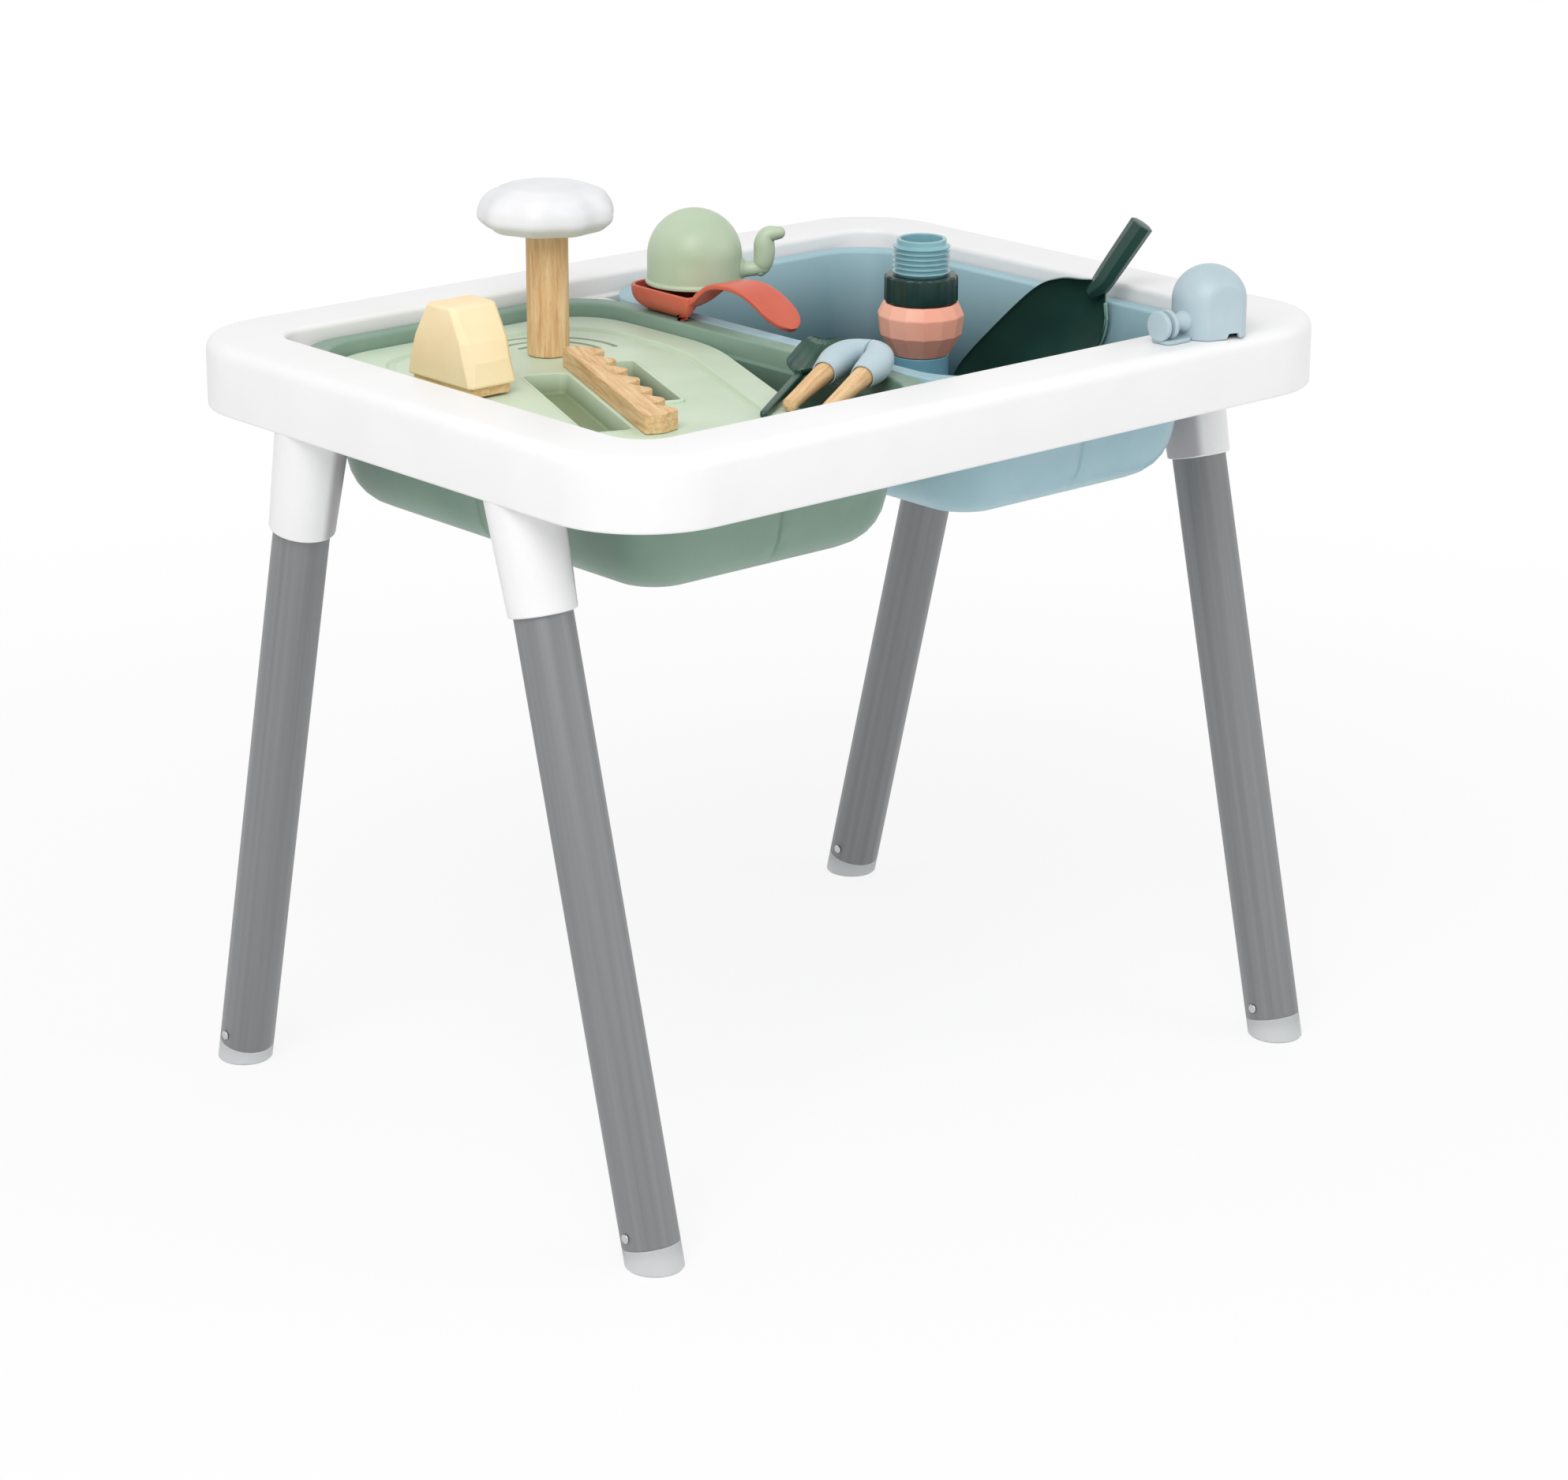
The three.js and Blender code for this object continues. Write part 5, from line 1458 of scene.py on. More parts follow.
@dataclass
class Ladle:
    """The coral ladle on the bins' meeting lips: a cut-cornered dish with an arched strap."""

    centre: Pair = (21.6, 95.665)
    low: float = 490.3
    high: float = 507.3
    wall: float = 2.2
    # Each corner's place from the middle, and its radius
    plan: Rows = (
        (-36.4, -34.7, 4), (-29.6, -35.5, 4), (22.4, 10.3, 10), (18.4, 30.3, 9), (-35.6, 30.3, 14),
    )
    strap_from: Pair = (-28.6, -27.7)
    strap_to: Pair = (-0.6, -98.7)
    strap_rise: float = 24.0
    strap_thickness: float = 4.0
    strap_widths: Pair = (13.0, 28.0)
    strap_wide_at: float = 0.45
    strap_tip_from: float = 0.84
    # Place along the strap and its rise, as shares
    strap_shares: Rows = (
        (0.03, 0.38), (0.12, 0.55), (0.28, 0.95), (0.45, 1.06), (0.62, 0.97), (0.8, 0.62), (1, 0.0),
    )

    def dish(self) -> Shell:
        """Gives the dish, from its underside over the lip to its floor.

        Returns:
            The closed shell.
        """
        table = np.array(self.plan, float)
        corners, radii = table[:, :2] + self.centre, table[:, 2]
        low, high, wall = self.low, self.high, self.wall
        inset, z = profile([
            (13, low, 0), (9, low, 3), (2.5, low + 5, 5), (0, low + 11, 4), (0, high, 1), (wall, high, 1),
            (wall + 0.1, low + 11, 4), (5, low + 6.2, 4), (10.5, low + wall, 2), (13.5, low + wall, 0),
        ]).T
        outlines = [
            filleted(inset_corners(corners, shift), np.maximum(radii - shift / 2, 1.5), 8, True)
            for shift in inset
        ]
        return Shell(lying_outlines(outlines, z), flat_ends=True)

    def strap(self) -> Shell:
        """Gives the strap: point + u across + v square to it, where u narrows as a half circle at the tip.

        Returns:
            The closed shell.
        """
        line = smooth_path(np.array(self.strap_shares), 9)
        start, end = np.array(self.strap_from) + self.centre, np.array(self.strap_to) + self.centre
        plan = start + line[:, :1] * (end - start)
        path = np.column_stack([plan, self.low + self.strap_thickness / 2 + line[:, 1] * self.strap_rise])
        tangent = np.gradient(path, axis=0)
        square = unit(np.column_stack([0 * tangent[:, 0], tangent[:, 2], -tangent[:, 1]]))
        tip = np.clip((line[:, 0] - self.strap_tip_from) / (1 - self.strap_tip_from), 0, NEAR_POLE)
        width = np.interp(line[:, 0], (0, self.strap_wide_at), self.strap_widths) / 2 * np.sqrt(1 - tip**2)
        section = soft_box(48)
        u = section[None, :, 0, None] * width[:, None, None] * np.array([1.0, 0, 0])
        v = section[None, :, 1, None] * square[:, None] * self.strap_thickness / 2
        return Shell(path[:, None] + u + v)

    def build(self, shop: Workshop) -> None:
        """Makes the dish and its strap."""
        shop.piece("ladle_dish", [self.dish()], CORAL, "ladle", ("ladle",))
        shop.piece("ladle_strap", [self.strap()], CORAL, "ladle", ("ladle",))


@dataclass
class SageMould:
    """The sage dome mould that stands in the ladle, with a hooked arm."""

    centre: Pair = (21.6, 95.665)
    low: float = 507.6
    radius: float = 31.3
    straight: float = 18.2
    crown: float = 31.0
    wall: float = 2.0
    brim: Pair = (1.3, 2.0)
    arm_degrees: float = -44.0
    # Reach, height and radius along the upright of the arm, and along its link to the dome
    arm: Rows = (
        (43.5, 8.5, 4.2), (45, 13, 6.3), (46, 20, 7), (46, 27, 6.8), (48.5, 32.2, 5.6), (55.5, 33.6, 4.2),
    )
    link: Rows = ((30, 9.5, 8), (34, 9.2, 5.4), (39, 9.4, 4.8), (45, 11, 5.2))

    def dome(self) -> Shell:
        """Gives the dome: outside down to its brim, then up the inside.

        Returns:
            The closed shell.
        """
        r, wall, top = self.radius, self.wall, self.low + self.straight
        out, thick = self.brim
        line = profile([
            *dome_rows(r, self.crown, top), (r, self.low + thick + 1, 1.5), (r + out, self.low + thick, 0.7),
            (r + out, self.low, 0.7), (r - wall, self.low, 0.6),
            *dome_rows(r - wall, self.crown - wall, top)[::-1],
        ])
        return Shell(turned_rings(line, self.centre, 96))

    def rod(self, rows: Rows) -> Shell:
        """Gives one round part of the arm, from rows of reach, height and radius.

        Args:
            rows: Reach from the dome's axis, height and radius at each point.

        Returns:
            The closed shell.
        """
        turn = math.radians(self.arm_degrees)
        reach, rise, radius = np.array(rows).T
        x, y = self.centre[0] + reach * math.cos(turn), self.centre[1] + reach * math.sin(turn)
        points = np.column_stack([x, y, self.low + rise, radius])
        return Shell(tube_rings(points, upward=np.array([-math.sin(turn), math.cos(turn), 0])))

    def build(self, shop: Workshop) -> None:
        """Makes the mould and its arm."""
        shells = [self.dome(), self.rod(self.link), self.rod(self.arm)]
        shop.piece("sage_dome", shells, SAGE, "sage_mould", ("sage_mould",))


@dataclass
class RimMould:
    """The small dome mould on the rim: one flat side, and a tail with two ring fins on a foot plate."""

    at: Pair = (192.76, -206.0)
    low: float = 500.3
    radius: float = 23.7
    straight: float = 22.0
    crown: float = 22.5
    wall: float = 2.0
    flat_share: float = 0.84
    flat_facing: Pair = (-0.25, -0.968)
    notch: Triple = (6.0, 9.0, 3.2)
    tail_height: float = 11.0
    plate_half: Pair = (11.3, 9.0)
    plate_back: float = 34.0
    # Place along the tail and radius, from its end to the dome
    tail: Rows = (
        (-46.75, 1, 0), (-46.75, 9.5, 1), (-43.25, 9.5, 1), (-43.25, 4, 0.8), (-39.75, 4, 0.8),
        (-39.75, 9.5, 1), (-36.25, 9.5, 1), (-36.25, 4, 0.8), (-30, 4, 2), (-24, 7, 2), (-22.5, 7, 0),
    )

    def dome(self) -> Shell:
        """Gives the dome; its flat is p - n (p.n - d) wherever p.n is more than d.

        Returns:
            The closed shell.
        """
        r, wall, top = self.radius, self.wall, self.low + self.straight
        line = profile([
            *dome_rows(r, self.crown, top), (r, self.low, 0.6), (r - wall, self.low, 0.6),
            *dome_rows(r - wall, self.crown - wall, top)[::-1],
        ])
        rings = turned_rings(line, sides=96)
        outside = np.arange(len(rings)) <= np.argmin(line[:, 1])
        facing = np.array(self.flat_facing)
        limit = np.where(outside, 0.0, -wall) + self.flat_share * r
        excess = np.clip(rings[..., :2] @ facing - limit[:, None], 0, None)
        rings[..., :2] -= excess[..., None] * facing
        sideways = rings[..., :2] @ np.array([-facing[1], facing[0]])
        shift, width, height = self.notch
        under = (np.abs(sideways - shift) < width / 2) & (rings[..., :2] @ facing > 0)
        rings[..., 2] = np.where(under, np.maximum(rings[..., 2], self.low + height), rings[..., 2])
        return Shell(rings + [*self.at, 0])

    def tail_part(self) -> Shell:
        """Gives the tail with its fins, turned about a level line.

        Returns:
            The closed shell.
        """
        line = profile(self.tail, 4)[:, ::-1]
        axes = np.array([[0, 1.0, 0], [0, 0, 1.0], [1.0, 0, 0]])
        return Shell(placed(turned_rings(line, sides=48), (*self.at, self.low + self.tail_height), axes))

    def plate(self) -> Shell:
        """Gives the foot plate that joins the tail to the dome.

        Returns:
            The closed shell.
        """
        inset, z = profile([(2, 0, 0), (0, 0, 0.5), (0, 2.5, 0.8), (2, 2.5, 0)]).T
        centre = (self.at[0] - self.plate_back, self.at[1])
        half_x, half_y = self.plate_half
        radius = np.maximum(5 - inset, 1)
        return Shell(rounded_rings(half_x - inset, half_y - inset, radius, self.low + z, centre))

    def build(self, shop: Workshop) -> None:
        """Makes the mould."""
        shells = [self.dome(), self.tail_part(), self.plate()]
        shop.piece("rim_dome", shells, MIST, "rim_mould", ("rim_mould",))


@dataclass
class Tower:
    """The stacking tower in the water bin: tumbler, cup, knurled collar and ribbed neck."""

    at: Pair = (98.161, -40.6125)
    tumbler_low: float = 392.8
    tumbler_radius: float = 18.5
    tumbler_height: float = 79.0
    wall: float = 2.0
    cup_low: float = 472.1
    cup_radii: tuple[float, ...] = (18.5, 27.0, 28.4, 24.6)
    cup_heights: tuple[float, ...] = (0, 14, 26.5, 34.5)
    cup_sides: int = 14
    collar_low: float = 506.9
    collar_high: float = 524.9
    collar_radius: float = 23.5
    collar_ribs: int = 16
    collar_wave: float = 0.019
    neck_low: float = 525.2
    neck_pitch: float = 3.25
    neck_ribs: int = 6
    neck_crest: float = 18.7
    neck_groove: float = 16.4
    neck_bore: float = 13.5
    neck_top: float = 548.2
    neck_lip: float = 16.2
    spigot_low: float = 513.2
    spigot_radius: float = 16.0

    def tumbler(self) -> Shell:
        """Gives the plain tumbler at the bottom.

        Returns:
            The closed shell.
        """
        low, r, wall = self.tumbler_low, self.tumbler_radius, self.wall
        top = low + self.tumbler_height
        line = profile([
            (2, low, 0), (r - 2, low, 1), (r, low + 4, 2), (r, top, 0.9), (r - wall, top, 0.9),
            (r - wall, low + wall, 3), (2, low + wall, 0),
        ])
        return Shell(turned_rings(line, self.at))

    def cup(self) -> Shell:
        """Gives the cut-sided cup: flat facets round a wide shoulder.

        Returns:
            The closed shell.
        """
        outside = np.column_stack([self.cup_radii, self.cup_low + np.array(self.cup_heights)])
        inside = outside[::-1] - [self.wall, 0]
        inside[-1, 1] += self.wall
        line = np.concatenate([[[2, outside[0, 1]]], outside, inside, [[2, inside[-1, 1]]]])
        return Shell(turned_rings(line, self.at, self.cup_sides))

    def collar(self) -> Shell:
        """Gives the collar; its ribs are a wave in the outer radius.

        Returns:
            The closed shell.
        """
        bore, r = self.spigot_radius + 0.3, self.collar_radius
        low, high = self.collar_low, self.collar_high
        line = profile([(bore, low, 0.6), (r, low, 1.6), (r, high, 1.8), (bore, high, 0.6)], 5, True)
        wave = np.where(line[:, 0] > r - 1.2, self.collar_wave, 0)
        return Shell(turned_rings(line, self.at, 192, wave, self.collar_ribs), True)

    def neck(self) -> Shell:
        """Gives the neck with its spigot, ring ribs and plain lip.

        Returns:
            The closed shell.
        """
        base = self.neck_low + np.arange(self.neck_ribs) * self.neck_pitch
        crest, groove = self.neck_crest, self.neck_groove
        ribs = [
            row
            for z in base + 0.6
            for row in (
                (groove, z, 0.5), (crest, z + 0.7, 0.6), (crest, z + 1.5, 0.6), (groove, z + 2.2, 0.5),
            )
        ]
        bore, spigot, lip = self.neck_bore, self.spigot_radius, self.neck_lip
        low, top = self.neck_low, self.neck_top
        line = profile([
            (bore, self.spigot_low, 0.4), (spigot, self.spigot_low, 0.6), (spigot, low, 0), (groove, low, 0),
            *ribs, (lip, top - 3, 0.6), (lip, top, 0.9), (bore, top, 0.9),
        ], 4, True)
        return Shell(turned_rings(line, self.at, 72), True)

    def build(self, shop: Workshop) -> None:
        """Makes the four stacked parts.

        Args:
            shop: The workshop that makes the pieces.
        """
        shop.piece("tower_base_tumbler", [self.tumbler()], TEAL_CUP, "tumbler", ("tower_tumbler",))
        shop.piece("tower_cut_cup", [self.cup()], PEACH, "cup", ("tower_cup",), crease=10, bevel_mm=0.8)
        shop.piece("tower_knurled_collar", [self.collar()], SPRUCE, "collar", ("tower_collar",))
        shop.piece("tower_ribbed_neck", [self.neck()], CLEAR_TEAL, "neck", ("tower_neck",))


def blade_axes(start: Array, end: Array, facing: Array) -> Array:
    """Gives a blade's across, normal and along directions as rows.

    Args:
        start: Where the blade starts.
        end: Where it ends.
        facing: Where its hollow side looks.

    Returns:
        The three directions as rows.
    """
    along = unit(end - start)
    normal = unit(facing - facing @ along * along)
    return np.array([np.cross(normal, along), normal, along])


@dataclass
class Blade:
    """A dished sheet between two points: the shape that the scoop and the spade share."""

    start: Triple
    end: Triple
    facing: Triple
    half_width: float
    depth: float
    thickness: float
    # Shares of the length, the half width and the depth, and the edges' lift as a share of the depth
    stations: Rows
    bead: float = 0.0
    rib_depth: float = 0.0
    ribs: int = 0

    def shell(self) -> Shell:
        """Gives the sheet; its height at share u across is depth (d (u^2 - 1) + lift) + rib cos(ribs pi u).

        Returns:
            The closed shell.
        """
        start, end = np.array(self.start), np.array(self.end)
        axes = blade_axes(start, end, np.array(self.facing))
        along, width, dish, lift = smooth_path(np.array(self.stations, float), 6).T[:, :, None]
        u = np.sin(np.linspace(-np.pi / 2, np.pi / 2, 25))[None, :]
        face = self.depth * (dish * (u**2 - 1) + lift)
        ribbed = self.rib_depth * np.cos(self.ribs * np.pi * u) * (1 - u**2) * np.minimum(width, 1)
        edge = self.bead * np.clip((np.abs(u) - 0.9) / 0.1, 0, 1) ** 2 * np.clip(width * 2 - 0.6, 0, 1)
        top, bottom = face + self.thickness + ribbed + edge, face + 0 * u
        across = u * self.half_width * width
        side = np.concatenate([across, across[:, ::-1]], 1)
        bend = np.concatenate([bottom, top[:, ::-1]], 1)
        length = np.linalg.norm(end - start)
        rings = np.stack([side, bend, np.broadcast_to(along * length, side.shape)], -1)
        return Shell(placed(rings, start, axes))

    def edge(self, side: int, reach: Pair, radius: float) -> Shell:
        """Gives a slim bead on one long edge, between two shares of the length.

        Args:
            side: Which edge, -1 or 1.
            reach: The two shares of the length.
            radius: The bead's radius.

        Returns:
            The closed shell.
        """
        start, end = np.array(self.start), np.array(self.end)
        rows = smooth_path(np.array(self.stations, float), 3)
        rows = rows[(rows[:, 0] >= reach[0]) & (rows[:, 0] <= reach[1])]
        along, width, _, lift = rows.T
        bend = self.depth * lift + self.thickness / 2
        local = np.column_stack([side * self.half_width * width, bend, along * np.linalg.norm(end - start)])
        path = placed(local[None], start, blade_axes(start, end, np.array(self.facing)))[0]
        points = np.column_stack([path, np.full(len(path), radius)])
        return Shell(tube_rings(points, (1, 1), round_section(12), 1))


@dataclass
class Scoop:
    """The dark scoop that stands in the water bin: a wide dished blade and a faceted handle."""

    tip: Triple = (195.6, 20.8, 399.7)
    neck: Triple = (232.9, -70.9, 502.7)
    handle: Triple = (17, -21, 43)
    handle_radius: float = 8.2
    facing: Triple = (-0.63, -0.71, 0.32)
    half_width: float = 30.0
    depth: float = 9.0
    thickness: float = 2.4
    bead: float = 1.2
    # Reach and radius of the pale bead that carries the painted highlight
    edge_reach: Pair = (0.5, 0.97)
    edge_radius: float = 1.3
    stations: Rows = (
        (0, 0.3, 0.1, 0.35), (0.06, 0.62, 0.35, 0.2), (0.2, 0.92, 0.8, 0), (0.45, 1, 1, 0),
        (0.75, 0.98, 1, 0), (0.88, 0.75, 0.9, 0), (0.96, 0.38, 0.5, 0), (1, 0.2, 0.1, 0),
    )
    # Place along the handle and radius there, as shares
    handle_shares: Rows = ((0, 0.86), (0.25, 0.93), (0.6, 0.97), (0.98, 1.0))

    def grip(self) -> Shell:
        """Gives the eight-sided handle, from its root inside the blade to its flat end.

        Returns:
            The closed shell.
        """
        neck = np.array(self.neck)
        root = neck + unit(np.array(self.tip) - neck) * self.handle_radius
        share, size = np.array(self.handle_shares).T
        points = np.column_stack([neck + share[:, None] * np.array(self.handle), size * self.handle_radius])
        points = np.concatenate([[[*root, self.handle_radius * 0.62]], points])
        return Shell(tube_rings(points, (0.4, 0.12), round_section(8), 5))

    def build(self, shop: Workshop) -> None:
        """Makes the blade and the handle.

        Args:
            shop: The workshop that makes the pieces.
        """
        blade = Blade(
            self.tip, self.neck, self.facing, self.half_width, self.depth, self.thickness, self.stations,
            bead=self.bead,
        )
        # The edge bead is a slim tube in pale pine: a painted highlight along one edge of the blade
        edge = blade.edge(-1, self.edge_reach, self.edge_radius)
        shop.piece("scoop_blade", [blade.shell()], PINE, "scoop", ("scoop",), crease=40)
        shop.piece("scoop_edge_bead_painted_highlight", [edge], PINE_PAINTED_HIGHLIGHT, "scoop", ("scoop",))
        shop.piece("scoop_grip", [self.grip()], PINE, "scoop", ("scoop",), crease=12, bevel_mm=0.9)


@dataclass
class Spade:
    """The slim spade that leans from the lid to the sand bin's lip."""

    tip: Triple = (-3.5, -59.9, 494.5)
    end: Triple = (-119.9, -133.9, 484.0)
    blade_share: float = 0.44
    half_width: float = 14.0
    depth: float = 7.0
    thickness: float = 2.0
    rib_depth: float = 0.6
    ribs: int = 7
    # Half width and half height of the stem: at its end, its middle, the blade's root and inside the blade
    stem_sizes: Rows = ((2.4, 2.4), (2.6, 2.5), (2.6, 2.5), (1.8, 1.6))
    stations: Rows = (
        (0, 0.16, 0.1, 0.4), (0.12, 0.5, 0.5, 0.3), (0.35, 0.95, 1, 0.25), (0.6, 1, 1, 0.25),
        (0.85, 0.98, 0.9, 0.4), (0.96, 0.86, 0.6, 0.6), (1, 0.6, 0.3, 0.8),
    )

    def build(self, shop: Workshop) -> None:
        """Makes the blade with its lengthwise ribs, and the stem.

        Args:
            shop: The workshop that makes the pieces.
        """
        tip, end = np.array(self.tip), np.array(self.end)
        root = end + (tip - end) * (1 - self.blade_share)
        blade = Blade(
            tuple(root), self.tip, (0, 0, 1), self.half_width, self.depth, self.thickness, self.stations,
            rib_depth=self.rib_depth, ribs=self.ribs,
        )
        shop.piece("spade_blade", [blade.shell()], FOREST, "spade", ("spade",), crease=40)
        into = root + 0.2 * (tip - root)
        lower = end + 0.03 * (root - end)
        rows = np.column_stack([[lower, (lower + root) / 2, root, into], self.stem_sizes])
        stem = Shell(tube_rings(rows, (1, 1), soft_box(32, 0.6), 8))
        shop.piece("spade_stem", [stem], FOREST, "spade", ("spade",))


@dataclass
class Tongs:
    """The tongs: a springy yoke in two arms with a tapered beech leg in each."""

    tip: Triple = (-92.3, -144.4, 486.8)
    head: Triple = (-26.2, -115.2, 498.87)
    yoke_length: float = 43.0
    yoke_radius: float = 10.2
    spread: float = 12.8
    leg_radii: Pair = (4.5, 6.5)
    leg_into: float = 12.0
    bore_radius: float = 6.8
    fit_gap: float = 0.3
    split: float = 0.25
    # Place along the yoke, sideways place and radius, as shares
    stations: Rows = (
        (0, 1, 0.77), (0.14, 1, 0.87), (0.42, 1.02, 1), (0.7, 0.86, 0.94), (0.88, 0.5, 0.79), (1, 0.1, 0.62),
    )

    def axes(self) -> tuple[Array, Array, float]:
        """Gives the socket's place, the tongs' along, across and up directions, and the legs' length.

        Returns:
            The place, the directions as rows, and the length.
        """
        tip, head = np.array(self.tip), np.array(self.head)
        axis = unit(head - tip)
        across = unit(np.cross(UP, axis))
        socket = head - axis * self.yoke_length / 2
        return socket, np.array([axis, across, np.cross(axis, across)]), float(np.linalg.norm(socket - tip))

    def yoke(self, side: int) -> Shell:
        """Gives one arm: its bore, its mouth and its outside, kept on its own side of the split.

        Args:
            side: 1 for the left half and -1 for the right one.

        Returns:
            The closed shell.
        """
        socket, axes, _ = self.axes()
        along, out, size = np.array(self.stations).T
        reach, width = along * self.yoke_length, size * self.yoke_radius
        points = np.column_stack([reach, side * out * self.spread, 0 * along, width])
        arm = tube_rings(points, (0.02, 0.9), round_section(48), 6)[6:]
        deep, radius = self.leg_into + self.fit_gap, self.bore_radius
        bore = np.array([(deep, 1), (deep, radius), (1.2, radius), (0, radius + self.fit_gap)])
        depth, size = bore.T[:, :, None]
        circle = round_section(48)
        x = np.broadcast_to(depth, (len(depth), 48))
        mouth = np.stack([x, side * self.spread + size * circle[:, 0], size * circle[:, 1]], -1)
        rings = np.concatenate([mouth, arm])
        rings[..., 1] = side * np.maximum(side * rings[..., 1], self.split)
        return Shell(placed(rings, socket, axes))

    def leg(self, side: int) -> Shell:
        """Gives one tapered leg with a rounded tip.

        Args:
            side: 1 for the left half and -1 for the right one.

        Returns:
            The closed shell.
        """
        socket, axes, reach = self.axes()
        low, high = self.leg_radii
        rows = [(-reach, low), (-reach * 0.6, low + 0.7), (0, high), (self.leg_into - 1, high)]
        points = np.array([(x, side * self.spread, 0, r) for x, r in rows])
        return Shell(placed(tube_rings(points, (0.5, 0.1)), socket, axes))

    def build(self, shop: Workshop) -> None:
        """Makes both arms and both legs.

        Args:
            shop: The workshop that makes the pieces.
        """
        wood = Beech("turned_beech_legs", "beech", tuple(self.axes()[1][0]))
        for side, name in ((1, "left"), (-1, "right")):
            shop.piece(f"yoke_{name}", [self.yoke(side)], MIST, f"tongs_{name}", (f"tongs_yoke_{name}",))
            shop.piece(f"tongs_wood_{name}", [self.leg(side)], wood, f"tongs_{name}", (f"tongs_leg_{name}",))


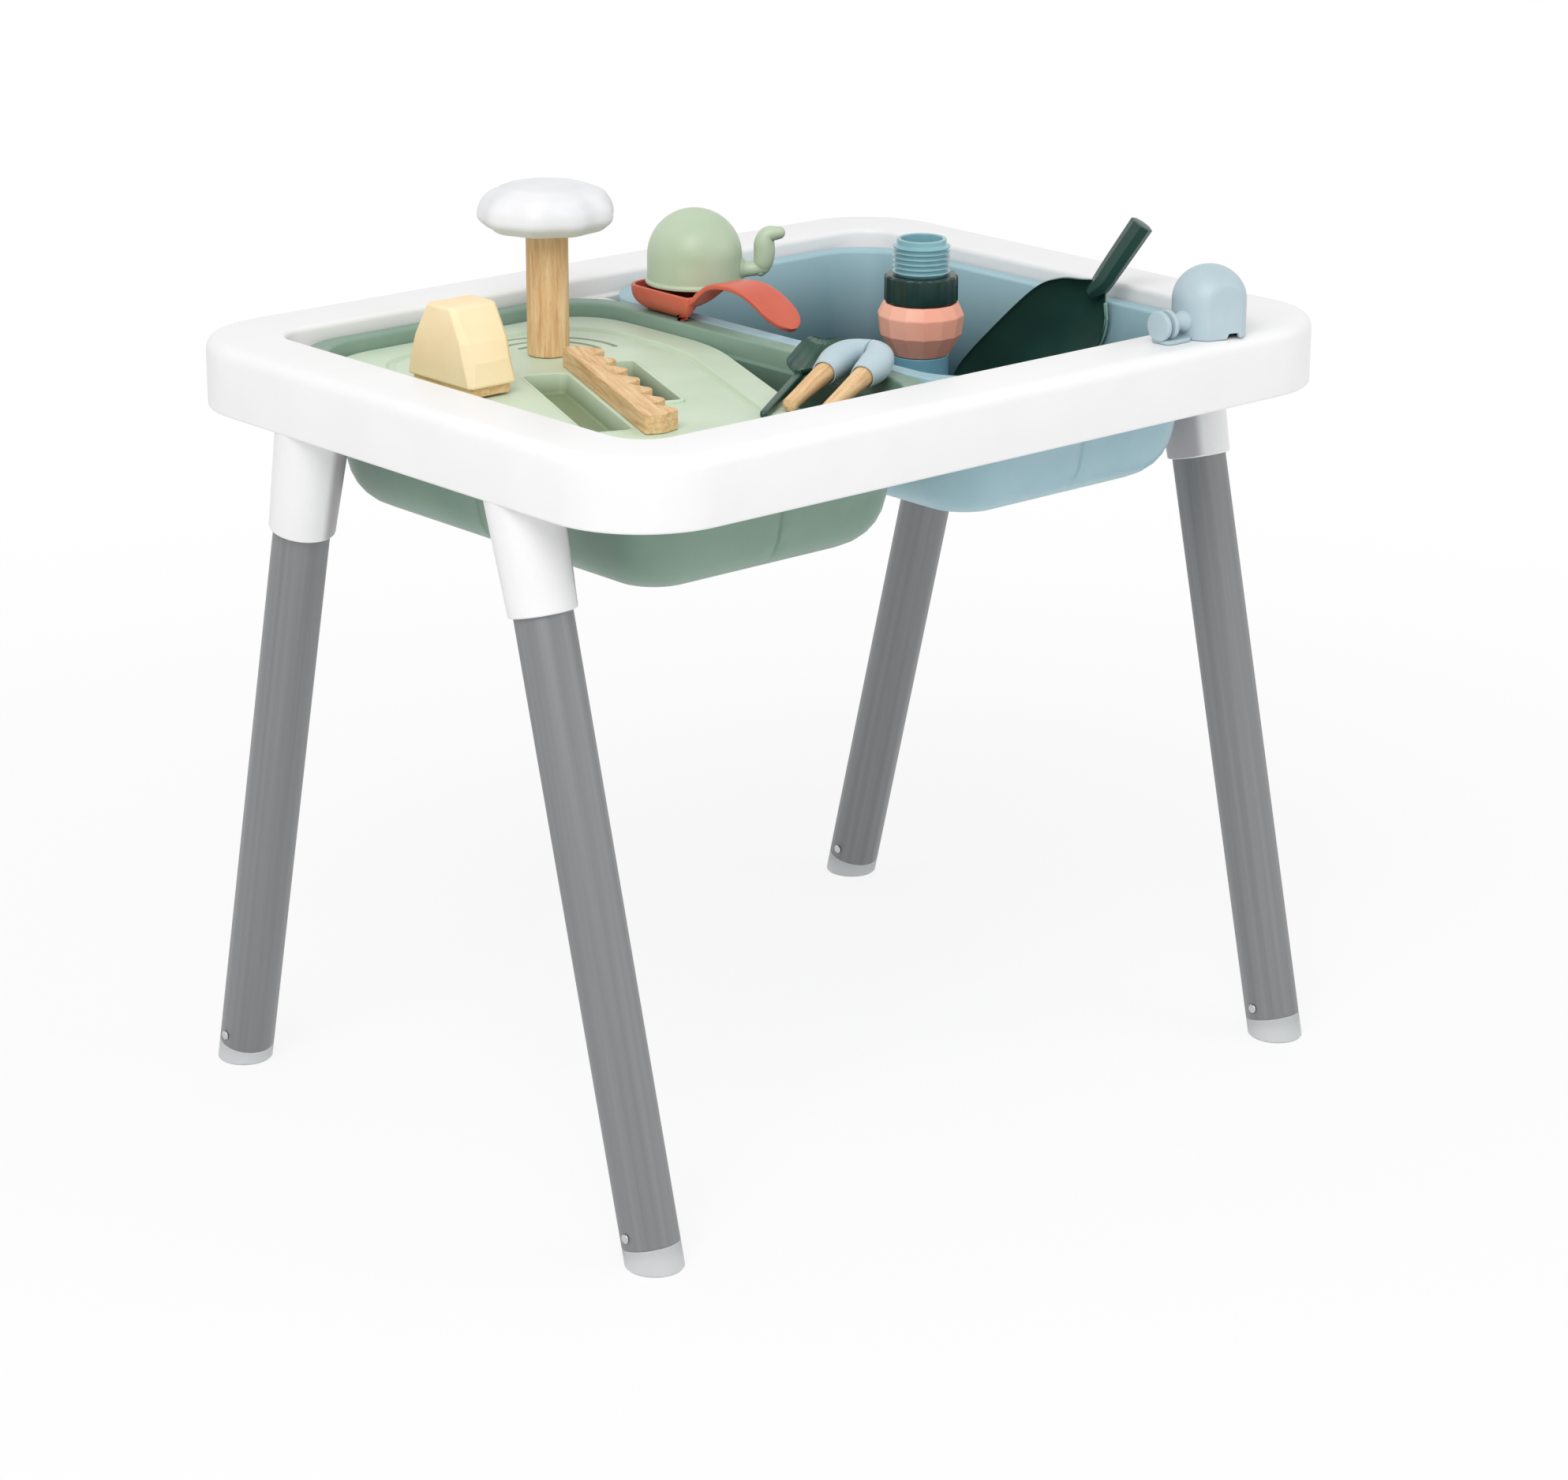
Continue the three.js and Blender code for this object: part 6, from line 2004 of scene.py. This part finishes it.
@dataclass
class Studio:
    """The camera at the photograph's place, a pale floor, a white surround and two large soft lamps."""

    camera_at: Triple = (-1.74104, -1.97896, 1.10218)
    forward: Triple = (0.62966, 0.70876, -0.31809)
    roll: float = 0.004
    lens_mm: float = 96.41
    floor_half: float = 14.0
    floor_colour: str = "f4f4f4"
    floor_white_from: float = 0.45
    floor_white_to: float = 1.6
    floor_glow: float = 0.83
    surround: float = 0.66
    key_at: Triple = (-1.6, -1.15, 2.35)
    key_size: float = 1.6
    key_watts: float = 37.0
    fill_at: Triple = (1.6, -2.0, 1.6)
    fill_size: float = 2.0
    fill_watts: float = 10.0
    lamps_face: Triple = (0, 0, 0.42)

    def camera(self) -> None:
        """Places the camera: right is r cos a + u sin a for the level right r and up u."""
        forward = unit(np.array(self.forward))
        level_right = unit(np.cross(forward, UP))
        level_up = np.cross(level_right, forward)
        right = level_right * math.cos(self.roll) + level_up * math.sin(self.roll)
        up = level_up * math.cos(self.roll) - level_right * math.sin(self.roll)
        data = bpy.data.cameras.new("camera")
        data.lens, data.sensor_width = self.lens_mm, 36.0
        data.dof.use_dof = False
        camera = bpy.data.objects.new("camera", data)
        turned = Matrix(np.column_stack([right, up, -forward]).tolist()).to_4x4()
        camera.matrix_world = Matrix.Translation(self.camera_at) @ turned
        bpy.context.scene.collection.objects.link(camera)
        bpy.context.scene.camera = camera

    def seen_directly(self, tree: NodeTree) -> NodeSocket:
        """Gives 1 for rays from the camera, from gloss and through clear plastic, and 0 for the rest.

        Args:
            tree: The node tree of the world or the floor.

        Returns:
            The socket of the share.
        """
        ray = add_node(tree, "LightPath").outputs
        seen = ray["Is Camera Ray"]
        for other in (ray["Is Glossy Ray"], ray["Is Transmission Ray"]):
            seen = add_node(tree, "Math", {0: seen, 1: other}, operation="MAXIMUM").outputs[0]
        return seen

    def world(self) -> None:
        """Lights evenly from all round, and shows white where it is seen directly."""
        world = bpy.data.worlds.new("studio_surround")
        bpy.context.scene.world = world
        world.use_nodes = True
        tree = world.node_tree
        tree.nodes.clear()
        plain, white = (
            add_node(tree, "Background", {"Color": linear(WHITE), "Strength": strength}).outputs[0]
            for strength in (self.surround, 1.0)
        )
        mix = add_node(tree, "MixShader", {"Fac": self.seen_directly(tree), 1: plain, 2: white})
        add_node(tree, "OutputWorld", {"Surface": mix.outputs[0]})

    def floor(self) -> None:
        """Makes the pale floor, which looks white and keeps a part of each shadow."""
        mesh = bpy.data.meshes.new("studio_floor")
        corners = np.array([(-1, -1, 0), (1, -1, 0), (1, 1, 0), (-1, 1, 0)]) * self.floor_half
        mesh.from_pydata(corners.tolist(), [], [(0, 1, 2, 3)])
        floor = bpy.data.objects.new("studio_floor", mesh)
        bpy.context.scene.collection.objects.link(floor)
        material, tree = blank_material("matt_white_floor")
        paint = add_node(tree, "BsdfDiffuse", {"Color": linear(self.floor_colour)}).outputs[0]
        glow = add_node(tree, "Emission", {"Color": linear(WHITE), "Strength": 1.0}).outputs[0]
        place = add_node(tree, "TexCoord").outputs["Object"]
        distance = add_node(tree, "VectorMath", {0: place}, operation="LENGTH").outputs["Value"]
        fade = add_node(tree, "MapRange", {
            "Value": distance, "From Min": self.floor_white_from, "From Max": self.floor_white_to,
            "To Min": self.floor_glow, "To Max": 1.0,
        }, interpolation_type="SMOOTHSTEP").outputs["Result"]
        share = add_node(tree, "Math", {0: self.seen_directly(tree), 1: fade}, operation="MULTIPLY")
        mix = add_node(tree, "MixShader", {"Fac": share.outputs[0], 1: paint, 2: glow})
        add_node(tree, "OutputMaterial", {"Surface": mix.outputs[0]})
        mesh.materials.append(material)

    def lamp(self, name: str, at: Triple, size: float, watts: float) -> None:
        """Adds a square soft lamp that faces the table.

        Args:
            name: The lamp's name.
            at: Its place in metres.
            size: Its width.
            watts: Its power.
        """
        data = bpy.data.lights.new(name, "AREA")
        data.size, data.energy = size, watts
        lamp = bpy.data.objects.new(name, data)
        direction = Vector(self.lamps_face) - Vector(at)
        lamp.matrix_world = Matrix.Translation(at) @ direction.to_track_quat("-Z", "Y").to_matrix().to_4x4()
        bpy.context.scene.collection.objects.link(lamp)

    def build(self) -> None:
        """Sets the whole studio up."""
        bpy.context.scene.view_settings.view_transform = "Standard"
        self.camera()
        self.world()
        self.floor()
        self.lamp("soft_key", self.key_at, self.key_size, self.key_watts)
        self.lamp("soft_fill", self.fill_at, self.fill_size, self.fill_watts)


def main() -> None:
    """Builds the studio and every sub-assembly in turn."""
    logging.basicConfig(level=logging.INFO, format="%(name)s %(message)s")
    shop = Workshop()
    Studio().build()
    RimFrame().build(shop)
    for side in Side:
        Leg(side).build(shop)
    Bin("sand_bin", "sand_bin", BIN_GREEN, -1, True).build(shop)
    Bin("water_bin", "water_bin", BIN_BLUE, 1, False).build(shop)
    for maker in (TrayLid, Mushroom, RockStamp, Rake, Ladle, SageMould, RimMould, Tower, Scoop, Spade, Tongs):
        LOG.info("building %s", maker.__name__)
        maker().build(shop)


if __name__ == "__main__":
    main()
